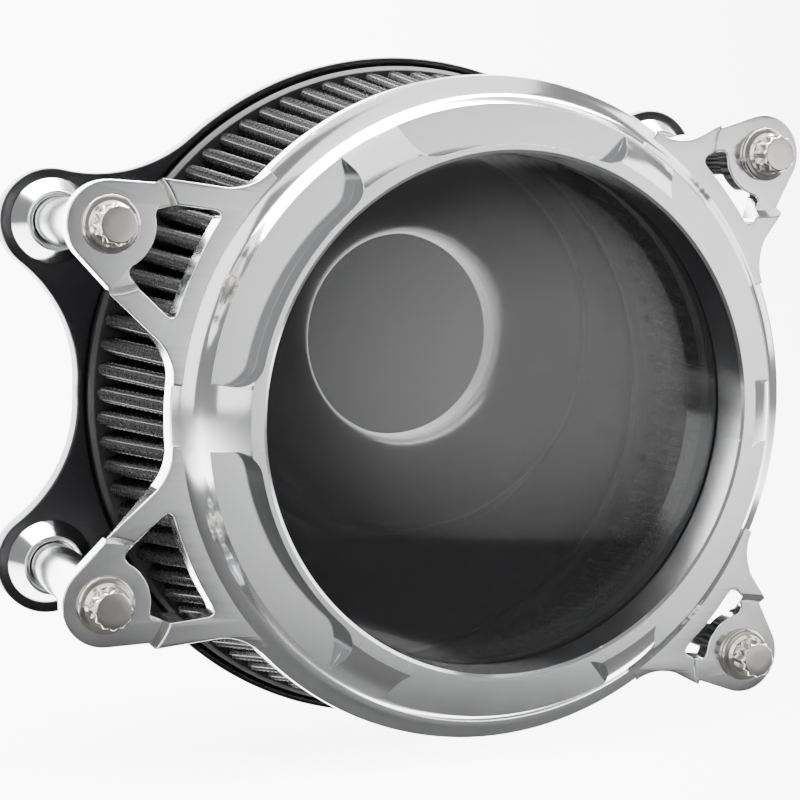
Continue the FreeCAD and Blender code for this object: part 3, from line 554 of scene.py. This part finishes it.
def smooth_through(knots, steps=10):
    """A smooth curve through complex points (Catmull-Rom)."""
    padded = [2 * knots[0] - knots[1], *knots, 2 * knots[-1] - knots[-2]]
    curve = []
    for a, b, c, d in zip(padded, padded[1:], padded[2:], padded[3:]):
        for k in range(steps):
            t = k / steps
            curve.append(0.5 * (2 * b + (c - a) * t + (2 * a - 5 * b + 4 * c - d) * t**2
                                + (3 * b - a - 3 * c + d) * t**3))
    return curve + [knots[-1]]


knots = [
    29 + 6.5j, 29.84 + 10.52j, 32.24 + 13.87j, 39.53 + 18.41j, complex(CREST_RADIUS, CREST),
    52.8 + 18.1j, 55 + 13.4j, 56.4 + 9.2j, 59.4 + 6.4j,
]
trumpet = [(p.real, p.imag) for p in smooth_through(knots)]
hollow = [
    (60, 6.0), (60, 5.02), (57.4, 5.02), (53, 9.4), (51.4, 14.8), (CREST_RADIUS, CREST - 2.6), (36.8, 13.6),
    (COLLAR, 10.4), (COLLAR, 5.02), (SPIGOT, 5.02), (SPIGOT, 0.02),
]
turned("stack_trumpet", [(THROAT, 0.02), *trumpet, *hollow], "base", gloss, ["velocity_stack"], BORE)
print("velocity stack: crest", round(CREST, 1), "mm forward, foot", round(STACK_BASE, 1))

CORD, CORD_RADIUS, CORD_FORWARD = 0.6, 30.86, 1.75
cord_turns = np.linspace(0, 6.28, 17)[:-1]
cord = [(CORD_RADIUS + CORD * math.cos(a), CORD_FORWARD + CORD * math.sin(a)) for a in cord_turns]
turned("stack_seal_ring", cord, "base", rubber, ["stack_seal"], BORE)

# %% [markdown]
# The element is a tapered drum. Cloth folded into 84 pleats stands between two rings of cast
# urethane. A folded sheet has round ridges and narrow valleys on both sides, because the bend has
# a radius and the sheet has a thickness. So the fold is drawn once as a middle line of arcs and
# straight flanks, and both faces are offset from it.

# %% Pleats
PLEATS, SHEET, WIRE_LAYER, FOLD, BEND = 84, 1.3, 0.5, 7.7, 1.15
MEDIA_REAR, MEDIA_FRONT = rear("pleated_media"), front("pleated_media")
CREST_REAR = half_width("outer_wire_mesh")
CREST_FRONT = CREST_REAR - 9.7
ROLL_LENGTH, ROLL_DEPTH = 2.6, 1.9


def half_fold(pitch, samples):
    """Middle line from a ridge to a valley, and its outward normals, as complex arrays."""
    across, drop = pitch / 2, FOLD - 2 * BEND
    lean = math.atan2(drop, across) + math.asin(2 * BEND / math.hypot(across, drop))
    turn = np.linspace(math.pi / 2, math.pi / 2 - lean, samples)
    ridge = -1j * BEND + BEND * np.exp(1j * turn)
    valley = complex(across, BEND - FOLD) - BEND * np.exp(1j * turn[::-1])
    return np.concatenate([ridge, valley]), np.exp(1j * np.concatenate([turn, turn[::-1]]))


def all_folds(crest, samples, offset, even=0):
    """Radius and angle of a pleated face all the way round, offset from the middle line."""
    mean = crest - FOLD / 2
    line, normal = half_fold(2 * math.pi * mean / PLEATS, samples)
    line = line + normal * offset
    left = -np.conj(line[::-1])
    wave = np.concatenate([left[:-1], line[:-1]])
    facing = np.concatenate([-np.conj(normal[::-1])[:-1], normal[:-1]])
    if even:
        closed = np.append(wave, line[-1])
        facing = np.append(facing, normal[-1])
        length = np.concatenate([[0], np.cumsum(np.abs(np.diff(closed)))])
        marks = np.linspace(0, length[-1], even, endpoint=False)
        wave = np.interp(marks, length, closed.real) + 1j * np.interp(marks, length, closed.imag)
        facing = np.interp(marks, length, facing.real) + 1j * np.interp(marks, length, facing.imag)
    step = 2 * math.pi / PLEATS
    middle_radius = crest - SHEET / 2 - WIRE_LAYER
    radius = np.tile(middle_radius + wave.imag, PLEATS)
    angle = (np.arange(PLEATS)[:, None] * step + (wave.real / mean)[None, :]).ravel()
    lean = (np.arange(PLEATS)[:, None] * step + np.angle(facing / 1j)[None, :]).ravel()
    return radius, angle, lean


def rows_between(offset, samples, heights, even=0):
    """Rows of a tapered pleated face; the rear ends are rolled in."""
    first = all_folds(CREST_REAR, samples, offset, even)
    last = all_folds(CREST_FRONT, samples, offset, even)
    share = ((heights - MEDIA_REAR) / (MEDIA_FRONT - MEDIA_REAR))[:, None]
    roll = np.clip(1 - (heights - MEDIA_REAR) / ROLL_LENGTH, 0, 1)[:, None]
    inward = ROLL_DEPTH * (1 - np.sqrt(1 - roll**2))
    radius = first[0] * (1 - share) + last[0] * share - inward
    angle = first[1] * (1 - share) + last[1] * share
    lean = first[2] * (1 - share) + last[2] * share
    return radius, angle, lean


sheet_heights = MEDIA_REAR + np.array([0, 0.15, 0.5, 1.1, 1.8, ROLL_LENGTH, MEDIA_FRONT - MEDIA_REAR])
outside, outside_angle, _ = rows_between(SHEET / 2, 6, sheet_heights)
inside, inside_angle, _ = rows_between(-SHEET / 2, 6, sheet_heights)
faces = [
    stand_up(outside, outside_angle, sheet_heights[:, None] * np.ones_like(outside)),
    stand_up(inside, inside_angle, sheet_heights[:, None] * np.ones_like(inside))[::-1],
]
sheet_points = np.concatenate(faces).transpose(1, 0, 2)
show("folded_cloth", grid_mesh("folded_cloth", sheet_points), "element", cloth, ["pleated_media"], 60)
print("pleats:", PLEATS, "grid", sheet_points.shape)

# %% [markdown]
# Woven wire lies on both faces of the cloth and follows every fold. Wires run along the pleats and
# across them, about 1.3 mm apart, and each one rises over and dips under the next. The wires are
# three-sided tubes; at this size that is all the roundness that can be seen.


# %% Woven wire
ROWS, STRANDS, WIRE, RISE, STAND_OFF = 38, 14, 0.12, 0.1, 0.22


def tubes(points, out, side, radius, around):
    """Three-sided tubes along the rows of a grid of points; around closes each tube on itself."""
    thirds = (0, 2.094, 4.189)
    corners = [points + radius * MM * (math.cos(a) * out + math.sin(a) * side) for a in thirds]
    loops = np.stack(corners, axis=2)
    paths, count = loops.shape[:2]
    steps = np.arange(count if around else count - 1)
    following = (steps + 1) % count
    base = np.arange(paths)[:, None, None] * count * 3
    k = np.arange(3)[None, None, :]
    here, ahead = base + steps[None, :, None] * 3, base + following[None, :, None] * 3
    next_k = (k + 1) % 3
    quads = np.stack([here + k, here + next_k, ahead + next_k, ahead + k], axis=-1).reshape(-1, 4)
    return loops.reshape(-1, 3), quads


def woven(name, offset, replaces):
    """Both sets of wires of one face."""
    heights = np.linspace(MEDIA_REAR + 0.3, MEDIA_FRONT - 0.2, ROWS)
    radius, angle, lean = rows_between(offset, 6, heights, STRANDS)
    points = stand_up(radius, angle, heights[:, None] * np.ones_like(radius))
    out = np.stack([np.cos(lean), np.zeros_like(lean), np.sin(lean)], axis=-1)
    side = np.stack([-np.sin(lean), np.zeros_like(lean), np.cos(lean)], axis=-1)
    axis = np.broadcast_to(np.array([0.0, 1.0, 0.0]), out.shape)
    weave = np.where((np.arange(ROWS)[:, None] + np.arange(radius.shape[1])[None, :]) % 2, 1, -1)
    lift = (weave * RISE * MM)[..., None] * out
    lengthwise = [grid.transpose((1, 0, 2)) for grid in (points + lift, out, side)]
    long_points, long_quads = tubes(*lengthwise, WIRE, False)
    ring_points, ring_quads = tubes(points - lift, out, axis, WIRE, True)
    mesh = bpy.data.meshes.new(name)
    quads = np.concatenate([long_quads, ring_quads + len(long_points)])
    mesh.from_pydata(np.concatenate([long_points, ring_points]).tolist(), [], quads.tolist())
    show(name, mesh, "element", wire, replaces, 80)
    print(name, "faces", len(quads), "ring pitch", round(float(heights[1] - heights[0]), 2), "mm")


woven("outer_wires", SHEET / 2 + STAND_OFF, ["outer_wire_mesh"])
woven("inner_wires", -SHEET / 2 - STAND_OFF, ["inner_wire_mesh"])

# %% [markdown]
# The end caps are poured round the ends of the pleats. The cast surface has slightly rounded
# edges. The rear cap is the wider one and shows as a dark band at the foot of the pleats.

# %% End caps
CAP_REAR, CAP_REAR_TOP = rear("rear_end_cap"), front("rear_end_cap")
CAP_FRONT_BACK, CAP_FRONT = rear("front_end_cap"), front("front_end_cap")
cap_outer, cap_inner = half_width("rear_end_cap"), 76.5
nose_outer, nose_inner = half_width("front_end_cap"), 68.0
rear_section = [
    (cap_inner, CAP_REAR, 0.4), (cap_outer, CAP_REAR, 0.5), (cap_outer, CAP_REAR_TOP - 1.2, 0.6),
    (cap_outer - 1.2, CAP_REAR_TOP, 0.6), (cap_inner + 1, CAP_REAR_TOP, 0.5),
    (cap_inner, CAP_REAR_TOP - 1, 0.5),
]
turned("rear_cap", rear_section, "element", urethane, ["rear_end_cap"])
front_section = [
    (nose_inner, CAP_FRONT_BACK, 0.6), (nose_outer, CAP_FRONT_BACK, 0.8), (nose_outer, CAP_FRONT, 0.4),
    (nose_inner, CAP_FRONT, 0.4),
]
turned("front_cap", front_section, "element", urethane, ["front_end_cap"])
print("end caps:", round(cap_outer, 1), round(nose_outer, 1))

# %% [markdown]
# The cover ring is the piece that everyone looks at. It starts as a turned ring with a flat lip
# round the window and a dome that falls away to a flange. Six flat-floored pockets are then milled
# into the dome, with tall inner walls, round inner corners and lands left between them. It is
# built column by column: each column knows whether it lies on a land or crosses a pocket, so the
# walls follow the cutter's path exactly. A fine bevel finishes every edge before plating.

# %% Cover ring
RING_BACK = rear("cover_ring")
WINDOW, LIP, LIP_FRONT, CREASE, CREASE_FRONT = 66.0, 70.0, 84.0, 81.0, 72.0
FLANGE, FLANGE_FRONT, STEP = 86.0, 70.0, 72.0
POCKET_FLOOR, POCKET_INNER, POCKET_HALF, POCKET_CORNER = 77.0, 68.1, 24.0, 7.0
DOME_MIDDLE = (77.2, 78.6)
RECESS, RECESS_BACK, RING_INNER, EDGE_DROP, BLEND_FROM = 70.6, 68.2, 78.9, 0.8, 79.7
POCKETS, POCKET_STEP = 6, 60


def circle_through(a, b, c):
    """Centre and radius of the circle through three complex points."""
    w = (c - a) / (b - a)
    centre = (b - a) * (w - abs(w) ** 2) / (2j * w.imag) + a
    return centre, abs(centre - a)


lip_edge, flange_crease = complex(LIP, LIP_FRONT), complex(CREASE, CREASE_FRONT)
dome_centre, dome_radius = circle_through(lip_edge, complex(*DOME_MIDDLE), flange_crease)


def dome(radius):
    """Height of the lip or the dome at a radius."""
    if radius <= LIP:
        return LIP_FRONT
    return dome_centre.imag + math.sqrt(dome_radius**2 - (radius - dome_centre.real) ** 2)


RUN_OUT = dome_centre.real + math.sqrt(dome_radius**2 - (POCKET_FLOOR - dome_centre.imag) ** 2)

flange_edge = complex(FLANGE, FLANGE_FRONT)
blend_end = flange_crease + (flange_edge - flange_crease) * 0.6
curve = bend_through(complex(BLEND_FROM, dome(BLEND_FROM)), flange_crease, blend_end, 8)[1:]
rolled = [flange_edge + step for step in (-0.9 + 0.3j, -0.3 - 0.1j, -1j * EDGE_DROP)]
flange_blend = [(p.real, p.imag) for p in curve + rolled]


class Shell:
    """A mesh whose points are shared when they fall on the same place."""

    def __init__(self):
        self.work, self.known = bmesh.new(), {}

    def point(self, radius, degrees, forward):
        key = (round(radius, 4), round(degrees % 360, 4), round(forward, 4))
        if key not in self.known:
            spot = stand_up(np.array(radius), math.radians(degrees), forward)
            self.known[key] = self.work.verts.new(spot)
        return self.known[key]

    def face(self, *corners):
        points = []
        for corner in corners:
            point = self.point(*corner)
            if point not in points:
                points.append(point)
        if len(points) > 2:
            self.work.faces.new(points)


def pocket_columns():
    """Directions from the middle of a pocket to the next, with the pocket's inner radius at each."""
    hub = POCKET_INNER + POCKET_CORNER
    lean = math.degrees(math.atan(POCKET_CORNER / hub))
    start = POCKET_HALF - lean
    half = [(x, POCKET_INNER) for x in np.linspace(0, start, 14)[:-1]]
    for turn in (0, 10, 20, 31, 41.37, 52, 62, 71, 79, 85, 90):
        inward = POCKET_CORNER * math.cos(math.radians(turn))
        spot = complex(hub - inward, POCKET_CORNER * math.sin(math.radians(turn)))
        half.append((start + math.degrees(np.angle(spot)), abs(spot)))
    mirrored = [(-x, r) for x, r in half[:0:-1]]
    return mirrored + half


def dome_points(radius_from, radius_to, count):
    """Points down the dome between two radii, as (radius, forward)."""
    return [(r, dome(r)) for r in np.linspace(radius_from, radius_to, count)]


def ring_column(degrees, stop, milled):
    """The ring's half section in one direction; a pocket's inner wall, or the land, starts at stop."""
    line = [(WINDOW, STEP), (WINDOW, LIP_FRONT - 0.5), (WINDOW + 0.8, LIP_FRONT), (min(LIP, stop), LIP_FRONT)]
    line += dome_points(LIP, stop, 6) if stop > LIP else [(stop, LIP_FRONT)] * 6
    line += [(stop, POCKET_FLOOR)] if milled else dome_points(stop, RUN_OUT, 4)[1:-1]
    line += [(RUN_OUT, POCKET_FLOOR)] + dome_points(RUN_OUT, BLEND_FROM, 3)[1:] + flange_blend
    line += [
        (FLANGE, RING_BACK), (RING_INNER, RING_BACK), (RING_INNER, RECESS_BACK), (RECESS, RECESS_BACK),
        (RECESS, STEP), (WINDOW, STEP),
    ]
    return [(radius, degrees, forward) for radius, forward in line]


def pocket_end(degrees, edge_radius):
    """The small wall where a pocket ends against a land."""
    line = dome_points(edge_radius, RUN_OUT, 4)[:-1] + [(RUN_OUT, POCKET_FLOOR), (edge_radius, POCKET_FLOOR)]
    return [(radius, degrees, forward) for radius, forward in line]


def build_ring():
    """All columns of the ring, joined side by side."""
    shell = Shell()
    pocket = pocket_columns()
    edge_radius = pocket[-1][1]
    land = [(x, edge_radius) for x in np.linspace(POCKET_HALF, POCKET_STEP - POCKET_HALF, 9)]
    for n in range(POCKETS):
        centre = 30 + POCKET_STEP * n
        for columns, milled in ((pocket, True), (land, False)):
            strips = [ring_column(centre + x, stop, milled) for x, stop in columns]
            for one, other in zip(strips, strips[1:]):
                for p, q, t, s in zip(one, one[1:], other[1:], other):
                    shell.face(p, q, t, s)
        for x in (centre - POCKET_HALF, centre + POCKET_HALF):
            shell.face(*pocket_end(x, edge_radius))
    bmesh.ops.recalc_face_normals(shell.work, faces=shell.work.faces)
    mesh = bpy.data.meshes.new("milled_ring")
    shell.work.to_mesh(mesh)
    print("ring points", len(shell.work.verts), "run-out radius", round(RUN_OUT, 2))
    shell.work.free()
    return mesh


show("milled_ring", build_ring(), "cover", chrome, ["cover_ring"], edge=0.75)

# %% [markdown]
# Four ears carry the ring on the posts. Each one is a flat tongue with leaning sides, a round tip
# and a three-cornered opening. The metal round the bolt is spot-faced 2 mm lower than the arms. So
# an ear is two plates: the raised arms, and the lower tip that the bolt sits on.

# %% Ears
TIP, EAR_BLEND, EAR_ROOT, EAR_FACE, SEAT_FACE = 10.7, 14.0, 81.6, 71.0, 69.0
SEAT_RADIUS, BOSS, CUT_RING, RIB, CUT_CORNER = 15.0, 11.4, 88.4, 5.6, 3.6
RIB_GAP, INSET, OVERLAP, STEP_LEAN, BOLT_HOLE = TIP - RIB, 0.03, 1.0, 0.85, 4.3
ALONG = -np.exp(-1j * math.radians(22))
OUTWARD = -1j * ALONG


def chord(radius, gap):
    """Half of a chord that passes a circle's centre at a gap."""
    return math.sqrt(radius**2 - gap**2)


def to_circle(start, radius):
    """How far along the ear's side a point is from a circle about the hub."""
    half = (start * np.conj(ALONG)).real
    return -half - math.sqrt(half**2 - abs(start) ** 2 + radius**2)


def mirror(run):
    """The same points on the other side of the ear's middle line, in reverse."""
    return [np.conj(p) for p in run[::-1]]


def rounded_run(before, corner, run):
    """A mirrored run of points whose two end corners are rounded."""
    start = corner + (before - corner) / abs(before - corner) * CUT_CORNER
    clear = [p for p in run if min(abs(p - corner), abs(p - np.conj(corner))) > CUT_CORNER]
    into = bend_through(start, corner, clear[0], 7)
    return into + clear[1:-1] + mirror(into)


def arms_outline(reach):
    """Raised arms of an ear that points along the real axis."""
    # the blend's centre is EAR_BLEND outside the straight side and outside the flange
    start = reach + OUTWARD * (TIP + EAR_BLEND)
    blend_centre = start + ALONG * to_circle(start, FLANGE + EAR_BLEND)
    root = blend_centre * FLANGE / (FLANGE + EAR_BLEND)
    inner_root = root / abs(root) * EAR_ROOT
    arm_end = reach + OUTWARD * TIP + ALONG * chord(SEAT_RADIUS, TIP)
    rib_foot = reach + OUTWARD * RIB_GAP
    rib_end = rib_foot + ALONG * chord(SEAT_RADIUS, RIB_GAP)
    ring_end = rib_foot + ALONG * to_circle(rib_foot, CUT_RING)
    blend = sweep(blend_centre, EAR_BLEND, root, blend_centre - OUTWARD * EAR_BLEND, 14)
    side = [inner_root, root] + blend[1:] + [arm_end]
    step = sweep(reach, SEAT_RADIUS, arm_end, rib_end, 8)
    ring_side = sweep(0, CUT_RING, ring_end, np.conj(ring_end), 24, True)
    opening = [rib_end] + rounded_run(rib_end, ring_end, ring_side) + [np.conj(rib_end)]
    under_ring = sweep(0, EAR_ROOT, np.conj(inner_root), inner_root, 30)
    return under_ring[:-1] + side[:-1] + step[:-1] + opening + mirror(step)[1:] + mirror(side)[1:-1]


def tip_outline(reach):
    """Lower tip of the same ear; it runs a little way under the arms."""
    touch = reach + OUTWARD * (TIP - INSET)
    arm = touch + ALONG * (chord(SEAT_RADIUS, TIP) + OVERLAP)
    rib_foot = reach + OUTWARD * RIB_GAP
    rib = rib_foot + ALONG * chord(SEAT_RADIUS, RIB_GAP) + ALONG * OVERLAP + OUTWARD * INSET
    boss = rib_foot + ALONG * chord(BOSS, RIB_GAP) + OUTWARD * INSET
    tip_arc = sweep(reach, TIP - INSET, np.conj(touch), touch, 40)
    boss_side = sweep(reach, BOSS, boss, np.conj(boss), 20)
    return tip_arc + [arm, rib] + rounded_run(rib, boss, boss_side) + [np.conj(rib), np.conj(arm)]


def slope_step(ear, spot):
    """Lean the step beside the lowered seat back by about its own height."""
    for point in ear.data.vertices:
        here = flat(point.co)
        away = abs(here - spot)
        if abs(away - SEAT_RADIUS) < 0.7:
            above = -point.co.y / MM - SEAT_FACE
            moved = here + (here - spot) / away * above * STEP_LEAN
            point.co.x, point.co.z = HUB.x + moved.real * MM, HUB.z + moved.imag * MM


for corner, spot in POST_AT.items():
    reach, heading = abs(spot), spot / abs(spot)
    arms = [p * heading for p in arms_outline(reach)]
    ear = plate("ear_arms_" + corner, arms, [], RING_BACK, EAR_FACE, 0.4, "cover", chrome)
    slope_step(ear, spot)
    tip = [p * heading for p in tip_outline(reach)]
    plate("ear_tip_" + corner, tip, [ring_of(spot, BOLT_HOLE)], RING_BACK, SEAT_FACE, 0.45, "cover", chrome)
print("ears:", len(POST_AT))

# %% [markdown]
# The window is a smoked polycarbonate lens, pressed to a shallow crown of even thickness. A thin
# gasket lies in front of its rim, and a flat ring with six small screws clamps it from behind.

# %% Lens and its mounting
LENS_BACK, LENS_RADIUS, THICK, CROWN = rear("lens"), half_width("lens"), 3.0, 3.4
LENS_FRONT = LENS_BACK + THICK
rim_edge = 65.5
bulge = (rim_edge**2 + CROWN**2) / (2 * CROWN)
radii = np.linspace(0, rim_edge, 28)
lift = CROWN - bulge + np.sqrt(bulge**2 - radii**2)
outer_skin = [(r, LENS_FRONT + h) for r, h in zip(radii, lift)]
inner_skin = [(r, LENS_BACK + h) for r, h in zip(radii[::-1], lift[::-1])]
rim = [(LENS_RADIUS, LENS_FRONT, 0.3), (LENS_RADIUS, LENS_BACK, 0.3)]
turned("smoked_window", outer_skin + rim + inner_skin, "cover", smoked, ["lens"])
gasket_section = flat_ring(66.3, 70.5, LENS_FRONT, STEP - 0.02, 0.15)
turned("window_gasket", gasket_section, "cover", rubber, ["lens_gasket"])
retainer_section = flat_ring(67.5, 78.6, rear("lens_retainer"), LENS_BACK, 0.3)
turned("window_retainer", retainer_section, "cover", anodised, ["lens_retainer"])

RETAINER_SCREWS, RETAINER_CIRCLE = 6, 74.6
pan_head = [
    (0, 65.4), (1.0, 65.2), (1.0, 63.9, 0.1), (2.8, 63.9, 0.3), (2.8, 65.6), (1.5, 65.6), (1.5, 72.5, 0.3),
    (0, 72.5),
]
for i in range(RETAINER_SCREWS):
    spot = beside(HUB, RETAINER_CIRCLE, 30 + 60 * i)
    replaced = ["retainer_screws"] if i == 0 else []
    turned(f"retainer_screw_{i}", pan_head, "cover", zinc, replaced, spot, 48)
print("lens: front", round(LENS_FRONT + CROWN, 1), "radius", round(LENS_RADIUS, 1))

# %% [markdown]
# The cover bolts are polished steel with twelve-point heads. The flange is a shallow cone, dished
# a little where it meets the head. The twelve points come from two hexagons laid over each other,
# and the top of the head is chamfered and flat.

# %% Cover bolts
HEAD, ROOT, HEAD_TALL, HEAD_FOOT, BOLT_FLANGE = 4.75, 4.15, 8.2, 1.6, 7.1


def bolt_head(spot, seat):
    """Twelve-point head: a star section that turns round towards the chamfered top."""
    angle = np.linspace(0, 2 * math.pi, 240, endpoint=False)[:, None]
    wave = np.abs(((angle / math.radians(30)) % 1) - 0.5) * 2
    star = ROOT + (HEAD - ROOT) * wave**1.25
    rows = [(1.0, HEAD_FOOT), (1.0, 7.3), (0.85, 7.7), (0.5, 7.95), (0.0, 8.1)]
    rings = [(mix * (star + 0.25) + (1 - mix) * 4.35, h) for mix, h in rows]
    inner = [(4.2, HEAD_TALL - 0.01), (4.05, HEAD_TALL), (2.0, HEAD_TALL), (0.0, HEAD_TALL)]
    layers = [(np.zeros_like(angle), HEAD_FOOT)] + rings + [(np.full_like(angle, r), h) for r, h in inner]
    columns = [stand_up(r, angle, np.full_like(angle, seat + h), spot) for r, h in layers]
    return grid_mesh("bolt_head", np.concatenate(columns, axis=1), True, False)


seat = SEAT_FACE
flange_section = [
    (0, seat - 1), (SHANK, seat - 1), (SHANK, seat), (BOLT_FLANGE, seat, 0.2),
    (BOLT_FLANGE, seat + 1.3, 0.35), (6.5, seat + 1.55, 0.3), (5.6, seat + 1.75, 0.6),
    (4.95, seat + 2.5, 0.4), (4.2, seat + 2.9), (0, seat + 2.9),
]
shank_section = [(0, seat - 6.5), (SHANK, seat - 6.5, 0.3), (SHANK, seat), (0, seat)]
for corner in CORNERS:
    node, body = "cover_bolt_" + corner, "bolt_" + corner
    spot = on_axis_of(node)
    turned("bolt_flange_" + corner, flange_section, body, steel, [node], spot, 120)
    show("bolt_head_" + corner, bolt_head(spot, seat), body, steel, crisp=32)
    threaded("bolt_thread_" + corner, 3.3, SHANK, 1.41, rear(node), seat - 6, spot, body, steel)
    turned("bolt_shank_" + corner, shank_section, body, steel, [], spot, 64)
print("cover bolts:", len(CORNERS))

# %% [markdown]
# The studio: a pale floor that sweeps up behind, large soft lights, and cards that give the plating
# something to reflect. A grey card with a painted pool of light, brightest in one place, stands in
# front, a dark one lies low, and a third hides behind the object to darken the throttle bore. The
# camera stands a little to the left and above the middle.

# %% Studio and camera
low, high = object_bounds()


def stage_card(name, corners, finish):
    mesh = bpy.data.meshes.new(name)
    mesh.from_pydata([Vector(c) for c in corners], [], [(0, 1, 2, 3)])
    card = bpy.data.objects.new(name, mesh)
    bpy.context.scene.collection.objects.link(card)
    mesh.materials.append(finish.material)


def upright(left, right, low, high):
    """Corners of a standing card between two places on the ground."""
    return [(*left, low), (*right, low), (*right, high), (*left, high)]


pale = Finish("pale_floor", roughness=0.7)
pale.colour(pale.noise(3.0), (0.9, 0.9, 0.9), (0.94, 0.94, 0.94))
grey = Finish("grey_card", roughness=0.8)
across, _, height = grey.split(grey.place())
# painted light: the front card's grey is brightest at one spot, a painted pool of light that the plating
# reflects
painted_light_pool = 1.15 - 6.0 * ((across - 0.6) ** 2 + 1.5 * (height + 0.08) ** 2)
clouds = 0.8 + 0.4 * grey.noise(1.6, 1.0)
grey.colour(painted_light_pool * clouds, (0.06, 0.06, 0.06), (0.45, 0.45, 0.45))
dark = Finish("dark_card", roughness=0.8)
dark.colour(dark.noise(3.0), (0.01, 0.01, 0.01), (0.014, 0.014, 0.014))

ground = low.z - 0.3
curve_up = [
    (0.9 + 0.9 * math.sin(t), ground + 0.9 * (1 - math.cos(t))) for t in np.linspace(0, math.pi / 2, 16)[1:]
]
bend = [(-3.0, ground), (0.9, ground)] + curve_up + [(1.8, 4.0)]
sweep_points = np.array([[(x, y, z) for y, z in bend] for x in (-4.0, 4.0)])
floor_mesh = grid_mesh("studio_sweep", sweep_points, False, False, False)
floor_mesh.materials.append(pale.material)
floor_mesh.shade_smooth()
studio = bpy.data.objects.new("studio_sweep", floor_mesh)
bpy.context.scene.collection.objects.link(studio)


def soft_light(name, place, aim, width, height, power):
    light = bpy.data.lights.new(name, "AREA")
    light.shape, light.size, light.size_y, light.energy = "RECTANGLE", width, height, power
    lamp = bpy.data.objects.new(name, light)
    bpy.context.scene.collection.objects.link(lamp)
    lamp.location = place
    lamp.rotation_euler = (Vector(aim) - Vector(place)).to_track_quat("-Z", "Y").to_euler()


soft_light("overhead", (0.0, -0.5, 1.3), (0, 0, 0), 1.6, 1.2, 10)
soft_light("left_wall", (-1.2, -0.8, 0.5), (0, 0, 0), 1.3, 1.3, 12)
soft_light("right_wall", (1.3, -0.5, 0.5), (0, 0, 0), 1.0, 1.0, 9)
soft_light("backdrop", (0.0, 0.5, 1.6), (0, 1.8, 0.0), 3.0, 0.8, 520)
stage_card("front_card", upright((-0.3, -1.56), (1.4, -0.89), -0.42, 0.4), grey)
stage_card("low_card", [(-0.9, -1.7, -0.38), (1.3, -1.7, -0.38), (1.3, 0.1, -0.38), (-0.9, 0.1, -0.38)], dark)
stage_card("far_flag", upright((0.23, 0.9), (0.5, 0.9), -0.18, 0.08), dark)

world = bpy.data.worlds.new("studio")
bpy.context.scene.world = world
world.use_nodes = True
world.node_tree.nodes["Background"].inputs[0].default_value = (1, 1, 1, 1)
world.node_tree.nodes["Background"].inputs[1].default_value = 0.3

azimuth, elevation, roll = math.radians(-22.4), math.radians(5.3), math.radians(1.5)
level = math.cos(elevation)
back = Vector((math.sin(azimuth) * level, -math.cos(azimuth) * level, math.sin(elevation)))
right = Vector((math.cos(azimuth), math.sin(azimuth), 0))
up = right.cross(-back)
tilted_right = math.cos(roll) * right + math.sin(roll) * up
tilted_up = -math.sin(roll) * right + math.cos(roll) * up
camera = bpy.data.objects.new("camera", bpy.data.cameras.new("camera"))
camera.data.lens, camera.data.sensor_width = 91.1, 36
camera.matrix_world = Matrix((tilted_right, tilted_up, back)).transposed().to_4x4()
camera.location = (-0.2204, -0.5416, 0.0350)
bpy.context.scene.collection.objects.link(camera)
bpy.context.scene.camera = camera
